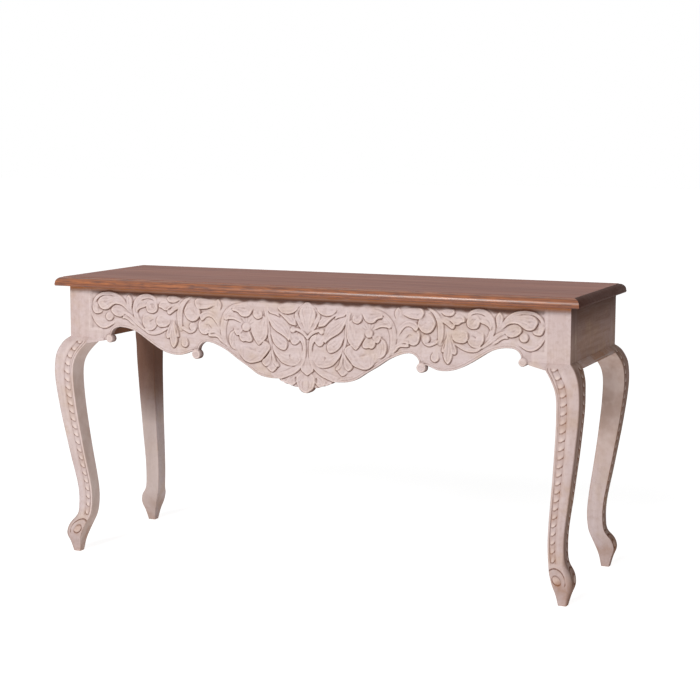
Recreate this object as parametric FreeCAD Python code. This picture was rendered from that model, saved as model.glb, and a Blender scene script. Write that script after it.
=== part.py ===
import FreeCAD, Part
import math
import os

from FreeCAD import Vector

# A console table: a glued-up wooden top with a moulded edge on a frame of four cabriole legs, a carved and
# scalloped front apron, plain side and back aprons, and a flared moulding under each side apron.
# Lengths are millimetres. X runs along the table, Y from front to back, Z up, and the feet stand at Z = 0.

# Driving dimensions of the whole table
table_height = 780.0
top_thickness = 25.0
post_span_x = 1436.0
post_span_y = 446.0
overhang_side = 29.0
overhang_front = 35.0
post_width = 60.0
apron_height = 142.0
knee_bulge = 34.0
pendant_drop = 260.0
overrun = 5.0

# Moulded edge of the top, on all four sides
edge_setback = 18.0
edge_fillet = 1.0
edge_quirk = 1.0

# Boards of the top and the loose tongues that align them
board_count = 4
tongue_thickness = 6.0
tongue_width = 16.0
tongue_end_margin = 60.0
tongue_clearance = 0.1

# Aprons and their tenons
apron_thickness = 22.0
tenon_thickness = 9.0
tenon_length = 28.0
tenon_shoulder = 12.0
joint_clearance = 0.1
tenon_end_gap = 1.0

# Scroll knobs on the lower edge of the front apron
outer_knob_radius = 10.5
inner_knob_radius = 12.5

# Knee brackets and the mouldings under the side aprons
bracket_length = 46.0
bracket_thickness = 34.0
bracket_thin_height = 8.0
moulding_thickness = 30.0
dowel_radius = 3.0
dowel_length = 18.0
dowel_clearance = 0.05
dowel_end_gap = 0.5
moulding_dowel_count = 3

# Corner braces
brace_thickness = 25.0
brace_height = 50.0
brace_drop = 30.0
brace_screw_rows = 2

# Middle bearer
bearer_thickness = 22.0
bearer_height = 50.0
bearer_tenon_length = 9.0
bearer_tenon_thickness = 10.0

# Wooden buttons that hold the top down
button_width = 30.0
button_length = 42.0
button_height = 20.0
button_tongue_length = 9.0
button_tongue_thickness = 8.0
button_slot_clearance = 1.0

# Screws
screw_radius = 2.0
screw_head_radius = 4.0
screw_head_height = 2.5
screw_tip_length = 4.0
screw_clearance = 0.05
top_screw_bite = 15.0
brace_screw_bite = 14.0
brace_screw_grip = 10.0
bearer_screw_grip = 30.0

# Leg profile, seen from the front and again from the side: the height as a share of the knee line, the outer
# curve as a share of the knee's bulge beyond the post, and the inner curve as a share of the post's width.
leg_profile_shares = [
    (0.000, 0.06, 0.33),
    (0.020, 0.15, 0.365),
    (0.050, 0.30, 0.42),
    (0.082, 0.50, 0.515),
    (0.114, 0.45, 0.63),
    (0.139, 0.24, 0.725),
    (0.163, -0.09, 0.805),
    (0.188, -0.245, 0.855),
    (0.212, -0.295, 0.88),
    (0.261, -0.31, 0.895),
    (0.326, -0.21, 0.855),
    (0.424, 0.075, 0.745),
    (0.522, 0.34, 0.635),
    (0.620, 0.60, 0.54),
    (0.718, 0.82, 0.46),
    (0.800, 0.965, 0.42),
    (0.850, 1.00, 0.425),
    (0.890, 0.965, 0.485),
    (0.928, 0.86, 0.65),
    (0.962, 0.61, 0.89),
    (0.974, 0.49, 1.00),
]
# The outer curve rises a little further, to the knee line
knee_crown_shares = [(0.986, 0.31), (1.000, 0.00)]

# Lower edge of the front apron, right half. Across: a share of half the clear length between the posts.
# Down: a share of the pendant's drop below the top.
pendant_cusp_shares = [(0.035, 0.938), (0.070, 0.917), (0.100, 0.892), (0.120, 0.865)]
pendant_lobe_share = 0.010
pendant_tip_share = 1.0
inner_sweep_shares = [
    (0.167, 0.863),
    (0.213, 0.835),
    (0.258, 0.762),
    (0.304, 0.692),
    (0.350, 0.613),
    (0.389, 0.565),
    (0.425, 0.535),
    (0.453, 0.533),
    (0.472, 0.561),
]
inner_knob_centre_shares = (0.493, 0.669)
inner_knob_start_angle = 118.0
inner_knob_end_angle = 400.0
outer_sweep_shares = [
    (0.532, 0.656),
    (0.553, 0.677),
    (0.587, 0.686),
    (0.638, 0.663),
    (0.685, 0.607),
    (0.731, 0.535),
    (0.775, 0.467),
    (0.812, 0.435),
    (0.845, 0.425),
    (0.875, 0.438),
    (0.891, 0.473),
]
outer_knob_centre_shares = (0.903, 0.556)
outer_knob_start_angle = 118.0
outer_knob_end_angle = 340.0

# Values that follow from the driving dimensions
under_top_z = table_height - top_thickness
knee_line_z = under_top_z - apron_height
half_x = post_span_x / 2
half_y = post_span_y / 2
apron_half_length = half_x - post_width
side_half_length = half_y - post_width
top_front_y = -half_y - overhang_front
top_back_y = half_y
board_width = (top_back_y - top_front_y) / board_count
post_foot_z = leg_profile_shares[-1][0] * knee_line_z
depth_middle_shift = (overhang_front - knee_bulge) / 2
tenon_low_z = knee_line_z + tenon_shoulder
tenon_high_z = under_top_z - tenon_shoulder


def box(low, high):
    """A solid block between two opposite corners."""
    size = high - low
    return Part.makeBox(size.x, size.y, size.z, low)


def spline(points):
    """A smooth edge through points."""
    curve = Part.BSplineCurve()
    curve.interpolate(points)
    return curve.toShape()


def line(start, end):
    """A straight edge."""
    return Part.LineSegment(start, end).toShape()


def closed_face(edges):
    """A flat face inside a loop of edges."""
    return Part.Face(Part.Wire(Part.sortEdges(edges)[0]))


def one_solid(shape):
    """The single solid that a cut or a common leaves."""
    solids = shape.Solids
    if len(solids) != 1:
        raise ValueError("expected one solid, found %d" % len(solids))
    return solids[0]


def mirrored(shape, side_x, side_y):
    """A copy of a shape made at the +X +Y corner, moved to another corner."""
    result = shape.copy()
    if side_x < 0:
        result = result.mirror(Vector(0, 0, 0), Vector(1, 0, 0))
    if side_y < 0:
        result = result.mirror(Vector(0, 0, 0), Vector(0, 1, 0))
    return result


def save(name, solids):
    """Write one node, moved so that the middle of the table's depth is at Y = 0."""
    moved = []
    for solid in solids:
        copy = solid.copy()
        copy.translate(Vector(0, depth_middle_shift, 0))
        if not copy.isValid():
            raise ValueError("bad solid in " + name)
        moved.append(copy)
    shape = moved[0]
    if len(moved) > 1:
        shape = Part.makeCompound(moved)
    shape.exportStep(os.path.join("parts", name + ".step"))
    volume = sum(solid.Volume for solid in moved)
    print("%-28s solids %2d  volume %.1f cm3" % (name, len(moved), volume / 1000))


# Screws

def screw(grip, bite):
    """A countersunk wood screw along +Z, from its head's top at minus the grip to the bite above Z = 0."""
    head = Part.makeCone(screw_head_radius, screw_radius, screw_head_height, Vector(0, 0, -grip))
    shank_low = Vector(0, 0, screw_head_height - grip)
    shank_length = grip - screw_head_height + bite - screw_tip_length
    shank = Part.makeCylinder(screw_radius, shank_length, shank_low)
    tip_low = Vector(0, 0, bite - screw_tip_length)
    tip = Part.makeCone(screw_radius, screw_radius / 4, screw_tip_length, tip_low)
    return one_solid(head.fuse([shank, tip]).removeSplitter())


def screw_hole(grip, bite, head_pocket):
    """The hole for that screw, with a straight pocket below the head."""
    shank_radius = screw_radius + screw_clearance
    head_radius = screw_head_radius + screw_clearance
    head_top = Vector(0, 0, -grip)
    head = Part.makeCone(head_radius, shank_radius, screw_head_height, head_top)
    pocket = Part.makeCylinder(head_radius, head_pocket, Vector(0, 0, -grip - head_pocket))
    shank = Part.makeCylinder(shank_radius, grip + bite + screw_clearance, head_top)
    return head.fuse([pocket, shank])


def placed(shape, origin, direction):
    """A copy of a shape made along +Z, turned to a direction and moved to an origin."""
    result = shape.copy()
    result.Placement = FreeCAD.Placement(origin, FreeCAD.Rotation(Vector(0, 0, 1), direction))
    return result


# Legs

def leg_outline(place):
    """The edges of the leg's profile. place turns (outward, height) into a point."""
    outer = [place(out * knee_bulge, high * knee_line_z) for high, out, _ in leg_profile_shares]
    outer += [place(out * knee_bulge, high * knee_line_z) for high, out in knee_crown_shares]
    inner = [place(-inward * post_width, high * knee_line_z) for high, _, inward in leg_profile_shares]
    post_outer_top = place(0, under_top_z)
    post_inner_top = place(-post_width, under_top_z)
    return [
        spline(outer),
        line(outer[-1], post_outer_top),
        line(post_outer_top, post_inner_top),
        line(post_inner_top, inner[-1]),
        spline(inner),
        line(inner[0], outer[0]),
    ]


def profile_bar_along_y(low_y, high_y):
    """The leg's profile at the +X side, drawn out along Y."""
    face = closed_face(leg_outline(lambda out, z: Vector(half_x + out, low_y, z)))
    return face.extrude(Vector(0, high_y - low_y, 0))


def profile_bar_along_x(low_x, high_x):
    """The leg's profile at the +Y side, drawn out along X."""
    face = closed_face(leg_outline(lambda out, z: Vector(low_x, half_y + out, z)))
    return face.extrude(Vector(high_x - low_x, 0, 0))


def tenon_across_x(grow, extra_length):
    """The tenon of a front or back apron at the +X +Y corner, grown on every side by a clearance."""
    middle_y = half_y - apron_thickness / 2
    half = tenon_thickness / 2 + grow
    low = Vector(apron_half_length - overrun, middle_y - half, tenon_low_z - grow)
    high = Vector(apron_half_length + tenon_length + extra_length, middle_y + half, tenon_high_z + grow)
    return box(low, high)


def tenon_across_y(grow, extra_length):
    """The tenon of a side apron at the +X +Y corner, grown on every side by a clearance."""
    middle_x = half_x - apron_thickness / 2
    half = tenon_thickness / 2 + grow
    low = Vector(middle_x - half, side_half_length - overrun, tenon_low_z - grow)
    high = Vector(middle_x + half, side_half_length + tenon_length + extra_length, tenon_high_z + grow)
    return box(low, high)


def corner_leg():
    """The leg at the +X +Y corner, sawn from one blank along the same profile on two faces."""
    reach = knee_bulge + overrun
    seen_from_front = profile_bar_along_y(half_y - post_width - overrun, half_y + reach)
    seen_from_side = profile_bar_along_x(half_x - post_width - overrun, half_x + reach)
    leg = seen_from_front.common(seen_from_side)
    mortises = [
        tenon_across_x(joint_clearance, tenon_end_gap),
        tenon_across_y(joint_clearance, tenon_end_gap),
    ]
    return one_solid(leg.cut(mortises))


# Aprons

def apron_point(share):
    """A point of the front apron's lower edge, on its front face."""
    across, down = share
    return Vector(across * apron_half_length, -half_y, under_top_z - down * pendant_drop)


def knob_arc(centre_shares, radius, start_angle, end_angle):
    """The round outline of a scroll knob, with its first and last point."""
    centre = apron_point(centre_shares)
    points = []
    for angle in (start_angle, (start_angle + end_angle) / 2, end_angle):
        turn = math.radians(angle)
        points.append(centre + Vector(radius * math.cos(turn), 0, radius * math.sin(turn)))
    return Part.Arc(points[0], points[1], points[2]).toShape(), points[0], points[2]


def lobe_arc(start, end):
    """One lobe of the shell pendant, bulging down and outward between two cusps."""
    middle = (start + end) / 2
    chord = end - start
    outward = Vector(chord.z, 0, -chord.x).normalize()
    return Part.Arc(start, middle + outward * pendant_lobe_share * pendant_drop, end).toShape()


def half_lower_edge():
    """The edges of the front apron's lower edge from the centre line to the right knee bracket."""
    cusps = [apron_point(share) for share in pendant_cusp_shares]
    tip = apron_point((0, pendant_tip_share))
    mirror_cusp = Vector(-cusps[0].x, cusps[0].y, cusps[0].z)
    tip_arc = Part.Arc(mirror_cusp, tip, cusps[0])
    edges = [tip_arc.toShape()]
    for start, end in zip(cusps, cusps[1:]):
        edges.append(lobe_arc(start, end))
    inner_knob, inner_in, inner_out = knob_arc(
        inner_knob_centre_shares, inner_knob_radius, inner_knob_start_angle, inner_knob_end_angle)
    outer_knob, outer_in, outer_out = knob_arc(
        outer_knob_centre_shares, outer_knob_radius, outer_knob_start_angle, outer_knob_end_angle)
    inner_sweep = [cusps[-1]] + [apron_point(share) for share in inner_sweep_shares] + [inner_in]
    outer_sweep = [inner_out] + [apron_point(share) for share in outer_sweep_shares] + [outer_in]
    edges += [spline(inner_sweep), inner_knob, spline(outer_sweep), outer_knob]
    bracket_start = Vector(apron_half_length - bracket_length, -half_y, knee_line_z)
    bracket_low = bracket_start - Vector(0, 0, bracket_thin_height)
    post_foot = Vector(apron_half_length, -half_y, knee_line_z)
    edges += [line(outer_out, bracket_low), line(bracket_low, bracket_start), line(bracket_start, post_foot)]
    return edges


def front_apron_board():
    """The scalloped front board, with a tenon at each end."""
    right_half = half_lower_edge()
    left_half = [edge.mirror(Vector(0, 0, 0), Vector(1, 0, 0)) for edge in right_half[1:]]
    right_foot = Vector(apron_half_length, -half_y, knee_line_z)
    right_top = Vector(apron_half_length, -half_y, under_top_z)
    left_top = Vector(-apron_half_length, -half_y, under_top_z)
    left_foot = Vector(-apron_half_length, -half_y, knee_line_z)
    frame = [line(right_foot, right_top), line(right_top, left_top), line(left_top, left_foot)]
    board = closed_face(right_half + left_half + frame).extrude(Vector(0, apron_thickness, 0))
    tenons = [mirrored(tenon_across_x(0, 0), side, -1) for side in (-1, 1)]
    return board.fuse(tenons)


def back_apron_board():
    """The plain back board, with a tenon at each end."""
    low = Vector(-apron_half_length, half_y - apron_thickness, knee_line_z)
    board = box(low, Vector(apron_half_length, half_y, under_top_z))
    tenons = [mirrored(tenon_across_x(0, 0), side, 1) for side in (-1, 1)]
    return board.fuse(tenons)


def side_apron_board():
    """The plain board at the +X side, with a tenon at each end."""
    low = Vector(half_x - apron_thickness, -side_half_length, knee_line_z)
    board = box(low, Vector(half_x, side_half_length, under_top_z))
    tenons = [mirrored(tenon_across_y(0, 0), 1, side) for side in (-1, 1)]
    return board.fuse(tenons)


# Mouldings under the side aprons, knee brackets and their dowels

def side_moulding_bar():
    """The flared bar at the +X side, whose outer face carries the knee's curve from leg to leg."""
    bar = profile_bar_along_y(-side_half_length, side_half_length)
    low = Vector(half_x - moulding_thickness, -side_half_length, post_foot_z)
    high = Vector(half_x + knee_bulge, side_half_length, knee_line_z)
    return bar.common(box(low, high))


def upright_dowel(x, y, z):
    """A dowel whose middle is at a joint's height."""
    return Part.makeCylinder(dowel_radius, dowel_length, Vector(x, y, z - dowel_length / 2))


def dowel_hole(x, y, z):
    """The hole for that dowel, on both sides of the joint."""
    radius = dowel_radius + dowel_clearance
    length = dowel_length + 2 * dowel_end_gap
    return Part.makeCylinder(radius, length, Vector(x, y, z - length / 2))


def moulding_dowel_places():
    """Places of the dowels between the +X side apron and its moulding."""
    step = 2 * side_half_length / moulding_dowel_count
    x = half_x - apron_thickness / 2
    return [(x, step * (index + 0.5) - side_half_length) for index in range(moulding_dowel_count)]


def bracket_section(x, height, flare_share):
    """A closed section of the knee bracket at one place along the apron."""
    points = []
    crown = [leg_profile_shares[-1][:2]] + knee_crown_shares
    crown_height = knee_line_z - post_foot_z
    for high, out in crown:
        rise = (high * knee_line_z - post_foot_z) / crown_height
        points.append(Vector(x, half_y + out * knee_bulge * flare_share, knee_line_z - height * (1 - rise)))
    points.append(Vector(x, half_y - bracket_thickness, knee_line_z))
    points.append(Vector(x, half_y - bracket_thickness, knee_line_z - height))
    return Part.makePolygon(points + [points[0]])


def corner_knee_bracket():
    """The bracket beside the leg at the +X +Y corner, thick at the leg and thin at its far end."""
    thin_flare_share = 0.0
    full_flare_share = 1.0
    at_leg = bracket_section(apron_half_length, knee_line_z - post_foot_z, full_flare_share)
    at_end = bracket_section(apron_half_length - bracket_length, bracket_thin_height, thin_flare_share)
    return Part.makeLoft([at_end, at_leg], True, True)


def bracket_dowel_place():
    """Place of the dowel between the +X +Y bracket and its apron."""
    return apron_half_length - bracket_length / 4, half_y - apron_thickness / 2


# Corner braces

def brace_screw_frames():
    """Origin and direction of each screw of the +X +Y brace, on the inner faces of the two aprons."""
    reach = post_width - apron_thickness
    across = 2 * reach + brace_thickness / 2 * math.sqrt(2)
    inner_x = half_x - apron_thickness
    inner_y = half_y - apron_thickness
    step = brace_height / brace_screw_rows
    frames = []
    for row in range(brace_screw_rows):
        z = under_top_z - brace_drop - step * (row + 0.5)
        frames.append((Vector(inner_x - across, inner_y, z), Vector(0, 1, 0)))
        frames.append((Vector(inner_x, inner_y - across, z), Vector(1, 0, 0)))
    return frames


def corner_brace():
    """The diagonal block across the +X +Y corner, against both aprons and the post's inner edge."""
    inner_x = half_x - apron_thickness
    inner_y = half_y - apron_thickness
    near = 2 * (post_width - apron_thickness)
    far = near + brace_thickness * math.sqrt(2)
    z = under_top_z - brace_drop - brace_height
    points = [
        Vector(inner_x - near, inner_y, z),
        Vector(inner_x - far, inner_y, z),
        Vector(inner_x, inner_y - far, z),
        Vector(inner_x, inner_y - near, z),
    ]
    face = Part.Face(Part.makePolygon(points + [points[0]]))
    block = face.extrude(Vector(0, 0, brace_height))
    hole = screw_hole(brace_screw_grip, brace_screw_bite, brace_thickness)
    return block.cut([placed(hole, origin, direction) for origin, direction in brace_screw_frames()])


# Middle bearer

def bearer_tenon(side, grow, extra_length):
    """A stub tenon of the middle bearer, in the front (-1) or back (+1) apron."""
    inner = half_y - apron_thickness
    low_z = under_top_z - bearer_height + tenon_shoulder - grow
    high_z = under_top_z - tenon_shoulder + grow
    half = bearer_tenon_thickness / 2 + grow
    low = Vector(-half, inner - overrun, low_z)
    high = Vector(half, inner + bearer_tenon_length + extra_length, high_z)
    return mirrored(box(low, high), 1, side)


def bearer_screw_places():
    """The bearer is screwed to each inner board of the top, on the board's middle line."""
    return [(0, board_middle_y(index)) for index in range(1, board_count - 1)]


def middle_bearer():
    """The cross rail between the front and back aprons."""
    inner = half_y - apron_thickness
    low = Vector(-bearer_thickness / 2, -inner, under_top_z - bearer_height)
    bar = box(low, Vector(bearer_thickness / 2, inner, under_top_z))
    bar = bar.fuse([bearer_tenon(side, 0, 0) for side in (-1, 1)])
    hole = screw_hole(bearer_screw_grip, top_screw_bite, bearer_height)
    holes = [placed(hole, Vector(x, y, under_top_z), Vector(0, 0, 1)) for x, y in bearer_screw_places()]
    return bar.cut(holes)


# Buttons that hold the top down

def button_places():
    """Name, origin on the apron's inner face and inward direction of each button."""
    inner_x = half_x - apron_thickness
    inner_y = half_y - apron_thickness
    step = 2 * apron_half_length / board_count
    places = []
    for side, label in ((-1, "front"), (1, "back")):
        for index in range(board_count):
            x = step * (index + 0.5) - apron_half_length
            name = "top_button_%s_%d" % (label, index + 1)
            places.append((name, Vector(x, side * inner_y, under_top_z), Vector(0, -side, 0)))
    side_y = board_middle_y(board_count // 2)
    for side, label in ((-1, "left"), (1, "right")):
        origin = Vector(side * inner_x, side_y, under_top_z)
        places.append(("top_button_" + label, origin, Vector(-side, 0, 0)))
    return places


def turned_block(origin, inward, low, high):
    """A block given by inward, sideways and upward limits from a place on an apron's inner face."""
    sideways = Vector(0, 0, 1).cross(inward)
    first = origin + inward * low.x + sideways * low.y + Vector(0, 0, low.z)
    second = origin + inward * high.x + sideways * high.y + Vector(0, 0, high.z)
    corner = Vector(min(first.x, second.x), min(first.y, second.y), min(first.z, second.z))
    far = Vector(max(first.x, second.x), max(first.y, second.y), max(first.z, second.z))
    return box(corner, far)


def button(origin, inward):
    """A button: a block under the top whose tongue sits in a slot of the apron."""
    half = button_width / 2
    body = turned_block(origin, inward, Vector(0, -half, -button_height), Vector(button_length, half, 0))
    tongue_low = Vector(-button_tongue_length, -half, -button_height)
    tongue_high = Vector(overrun, half, button_tongue_thickness - button_height)
    block = body.fuse(turned_block(origin, inward, tongue_low, tongue_high)).removeSplitter()
    hole = screw_hole(button_height - screw_head_height, top_screw_bite, button_height)
    return block.cut(placed(hole, button_screw_place(origin, inward), Vector(0, 0, 1)))


def button_slot(origin, inward):
    """The slot in the apron that a button's tongue sits in. Its roof is where the tongue pulls."""
    half = button_width / 2 + button_slot_clearance
    low = Vector(-button_tongue_length - button_slot_clearance, -half, -button_height - button_slot_clearance)
    high = Vector(overrun, half, button_tongue_thickness - button_height)
    return turned_block(origin, inward, low, high)


def button_screw_place(origin, inward):
    """The screw's place, in the middle of the button's body."""
    return origin + inward * (button_length / 2)


# Top

def board_middle_y(index):
    """The middle line of one board of the top, counted from the front."""
    return top_front_y + board_width * (index + 0.5)


def moulded_edge(place):
    """Edges of the moulding, from the flat top down to the underside, and its first and last point."""
    radius = edge_setback - edge_fillet
    round_top = table_height - edge_quirk
    diagonal = radius * math.sqrt(0.5)
    arc_points = [
        place(-edge_setback, round_top),
        place(-edge_setback + diagonal, round_top - radius + diagonal),
        place(-edge_fillet, round_top - radius),
    ]
    top = place(-edge_setback, table_height)
    shelf = place(0, round_top - radius)
    bottom = place(0, under_top_z)
    edges = [line(top, arc_points[0]), Part.Arc(*arc_points).toShape()]
    edges += [line(arc_points[2], shelf), line(shelf, bottom)]
    return edges, top, bottom


def top_slab():
    """The whole top before it is divided: the moulding runs all round."""
    end_x = half_x + overhang_side
    right, right_top, right_bottom = moulded_edge(lambda out, z: Vector(end_x + out, top_front_y, z))
    left, left_top, left_bottom = moulded_edge(lambda out, z: Vector(-end_x - out, top_front_y, z))
    ends = closed_face(right + left + [line(right_top, left_top), line(right_bottom, left_bottom)])
    seen_from_front = ends.extrude(Vector(0, top_back_y - top_front_y, 0))
    front, front_top, front_bottom = moulded_edge(lambda out, z: Vector(-end_x, top_front_y - out, z))
    back, back_top, back_bottom = moulded_edge(lambda out, z: Vector(-end_x, top_back_y + out, z))
    sides = closed_face(front + back + [line(front_top, back_top), line(front_bottom, back_bottom)])
    seen_from_side = sides.extrude(Vector(2 * end_x, 0, 0))
    return seen_from_front.common(seen_from_side)


def tongue_at(seam_y, grow):
    """A loose tongue across one seam of the top, or its groove when grown by a clearance."""
    half_length = half_x + overhang_side - tongue_end_margin + grow
    middle_z = under_top_z + top_thickness / 2
    low = Vector(-half_length, seam_y - tongue_width / 2 - grow, middle_z - tongue_thickness / 2 - grow)
    high = Vector(half_length, seam_y + tongue_width / 2 + grow, middle_z + tongue_thickness / 2 + grow)
    return box(low, high)


def seam_places():
    """The seams between the boards of the top."""
    return [top_front_y + board_width * index for index in range(1, board_count)]


def top_boards(screw_holes):
    """The boards of the top, front to back, with grooves for the tongues and holes for the screws."""
    slab = top_slab()
    cutters = screw_holes + [tongue_at(y, tongue_clearance) for y in seam_places()]
    end_x = half_x + overhang_side + overrun
    boards = []
    for index in range(board_count):
        low_y = top_front_y + board_width * index
        strip = box(Vector(-end_x, low_y, under_top_z - overrun),
                    Vector(end_x, low_y + board_width, table_height + overrun))
        boards.append(one_solid(slab.common(strip).cut(cutters)))
    return boards


# Assembly

corner_names = {(-1, -1): "front_left", (1, -1): "front_right", (-1, 1): "back_left", (1, 1): "back_right"}
side_names = {-1: "left_side", 1: "right_side"}


def build_legs():
    """The four legs."""
    leg = corner_leg()
    for (side_x, side_y), label in corner_names.items():
        save(label + "_leg", [mirrored(leg, side_x, side_y)])


def build_brackets():
    """The knee brackets and the dowels that hold them to the aprons."""
    x, y = bracket_dowel_place()
    bracket = one_solid(corner_knee_bracket().cut(dowel_hole(x, y, knee_line_z)))
    dowel = upright_dowel(x, y, knee_line_z)
    for (side_x, side_y), label in corner_names.items():
        save(label + "_knee_bracket", [mirrored(bracket, side_x, side_y)])
    save("bracket_dowels", [mirrored(dowel, side_x, side_y) for side_x, side_y in corner_names])


def build_mouldings():
    """The mouldings under the side aprons and their dowels."""
    holes = [dowel_hole(x, y, knee_line_z) for x, y in moulding_dowel_places()]
    bar = one_solid(side_moulding_bar().cut(holes))
    dowels = []
    for side, label in side_names.items():
        save(label + "_moulding", [mirrored(bar, side, 1)])
        for x, y in moulding_dowel_places():
            dowels.append(upright_dowel(side * x, y, knee_line_z))
    save("moulding_dowels", dowels)


def build_aprons():
    """The four aprons, cut for the bearer, the buttons, the dowels and the brace screws."""
    slots = [button_slot(origin, inward) for _, origin, inward in button_places()]
    x, y = bracket_dowel_place()
    bracket_hole = dowel_hole(x, y, knee_line_z)
    pilot = screw_hole(brace_screw_grip, brace_screw_bite, brace_thickness)
    brace_holes = [placed(pilot, origin, direction) for origin, direction in brace_screw_frames()]
    cutters = list(slots)
    for corner in corner_names:
        cutters += [mirrored(hole, corner[0], corner[1]) for hole in brace_holes + [bracket_hole]]
    for side in (-1, 1):
        cutters.append(bearer_tenon(side, joint_clearance, tenon_end_gap))
        cutters += [dowel_hole(side * x, y, knee_line_z) for x, y in moulding_dowel_places()]
    save("front_apron", [one_solid(front_apron_board().cut(cutters))])
    save("back_apron", [one_solid(back_apron_board().cut(cutters))])
    for side, label in side_names.items():
        save(label + "_apron", [one_solid(mirrored(side_apron_board(), side, 1).cut(cutters))])


def build_braces():
    """The corner braces and their screws."""
    brace = one_solid(corner_brace())
    one_screw = screw(brace_screw_grip, brace_screw_bite)
    corner_screws = [placed(one_screw, origin, direction) for origin, direction in brace_screw_frames()]
    screws = []
    for (side_x, side_y), label in corner_names.items():
        save(label + "_corner_brace", [mirrored(brace, side_x, side_y)])
        screws += [mirrored(item, side_x, side_y) for item in corner_screws]
    save("corner_brace_screws", screws)


def build_bearer():
    """The middle bearer and its screws."""
    save("middle_bearer", [one_solid(middle_bearer())])
    one_screw = screw(bearer_screw_grip, top_screw_bite)
    up = Vector(0, 0, 1)
    save("middle_bearer_screws",
         [placed(one_screw, Vector(x, y, under_top_z), up) for x, y in bearer_screw_places()])


def build_buttons():
    """The buttons and their screws."""
    one_screw = screw(button_height - screw_head_height, top_screw_bite)
    screws = []
    for name, origin, inward in button_places():
        save(name, [one_solid(button(origin, inward))])
        screws.append(placed(one_screw, button_screw_place(origin, inward), Vector(0, 0, 1)))
    save("top_button_screws", screws)


def build_top():
    """The boards of the top and their loose tongues."""
    up = Vector(0, 0, 1)
    button_hole = screw_hole(button_height - screw_head_height, top_screw_bite, overrun)
    bearer_hole = screw_hole(bearer_screw_grip, top_screw_bite, overrun)
    holes = [placed(button_hole, button_screw_place(origin, inward), up)
             for _, origin, inward in button_places()]
    holes += [placed(bearer_hole, Vector(x, y, under_top_z), up) for x, y in bearer_screw_places()]
    for index, board in enumerate(top_boards(holes)):
        save("top_board_%d" % (index + 1), [board])
    save("top_loose_tongues", [tongue_at(y, 0) for y in seam_places()])


os.makedirs("parts", exist_ok=True)
build_top()
build_aprons()
build_mouldings()
build_legs()
build_brackets()
build_braces()
build_bearer()
build_buttons()
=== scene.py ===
import math

import bmesh
import bpy
import numpy as np
from mathutils import Matrix, Vector


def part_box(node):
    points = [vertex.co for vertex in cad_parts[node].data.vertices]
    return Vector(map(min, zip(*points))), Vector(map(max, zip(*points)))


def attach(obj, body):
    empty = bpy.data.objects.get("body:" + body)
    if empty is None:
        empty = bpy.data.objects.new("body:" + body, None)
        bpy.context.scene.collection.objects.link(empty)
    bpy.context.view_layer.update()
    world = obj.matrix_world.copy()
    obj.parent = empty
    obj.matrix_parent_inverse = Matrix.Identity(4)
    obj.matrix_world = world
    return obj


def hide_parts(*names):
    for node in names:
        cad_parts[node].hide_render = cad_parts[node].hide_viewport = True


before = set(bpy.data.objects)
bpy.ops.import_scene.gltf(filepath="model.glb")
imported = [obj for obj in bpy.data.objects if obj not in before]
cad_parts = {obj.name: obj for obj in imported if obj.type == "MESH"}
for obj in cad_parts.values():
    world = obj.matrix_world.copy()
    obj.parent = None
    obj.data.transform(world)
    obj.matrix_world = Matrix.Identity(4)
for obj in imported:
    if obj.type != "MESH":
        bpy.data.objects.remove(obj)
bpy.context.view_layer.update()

# A console table: stained plank top on a carved, whitewashed base.
# Positions are metres in the frame. Drawings of carving are millimetres, and MM turns them into metres.
MM = 0.001
TINY = 1e-9

# How near counts as the same, in metres and degrees, and above what angle an edge is sharp
flat_margin = 0.01 * MM
merge_margin = 0.005 * MM
cut_margin = 0.001 * MM
flat_angle = 1.0
arris_angle = 35.0
apron_sharp = 60.0
leg_sharp = 50.0
plain_sharp = 25.0
top_sharp = 16.0

# Camera at the photograph's viewing angle, in pixels, metres and radians
photo_width = 700.0
focal_pixels = 1698.48
sensor_width = 36.0
camera_place = (1.82959, -4.25593, 1.18617)
camera_yaw = 0.3992
camera_pitch = 0.12906
camera_roll = 0.00323

# Light
sun_direction = (0.05, 0.86, -0.51)
sun_strength = 0.78
sun_softness = 20.0
softbox_place = (-0.80, -3.90, 2.75)
softbox_target = (0.0, 0.0, 0.45)
softbox_power = 76.0
softbox_size = 1.0
ambient_strength = 0.25
floor_bounce = 0.40
floor_size = 60.0
floor_tone = (203, 203, 203)
floor_glow = 0.835

# Moulded edge of the top, in millimetres in from the edge and down from its face, which is in metres
top_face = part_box("top_board_1")[1].z
top_corner = 2.5
top_corner_least = 0.3
ovolo_inset = 18.0
ovolo_quirk = 1.0
ovolo_radius = 17.0
ovolo_lip = [(2.5, 0.0), (0.5, 0.0), (0.1, 0.15), (0.0, 0.5)]
ovolo_foot = [(0.9, 0.25), (0.3, 0.4), (0.0, 0.9), (0.0, 1.8)]
under_round = 0.7
seam_ease = 0.45
edge_depths = [0.0, 0.4, 0.9, 1.6, 5.0, 11.0, 15.0, 17.2, 18.2, 18.6, 19.4, 23.0, 25.0]
edge_rubbed_shares = [0.0, 0.6, 0.9, 0.9, 0.8, 1.0, 1.0, 0.8, 0.4, 0.5, 0.9, 0.8, 0.5]
# Painted shade on the moulding: darker on the shelf under the ovolo and along the underside, and on the end faces
# below this depth
edge_shelf_shade_shares = [0.0, 0.0, 0.0, 0.0, 0.0, 0.0, 0.0, 0.2, 0.5, 0.3, 0.0, 0.1, 0.4]
edge_shade_depth = 0.6
edge_shade_share = 0.88

# Eased arrises of the plain pieces, in millimetres
bracket_ease = 1.0
side_apron_ease = 0.4
moulding_ease = 1.2
back_apron_ease = 0.6

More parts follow.
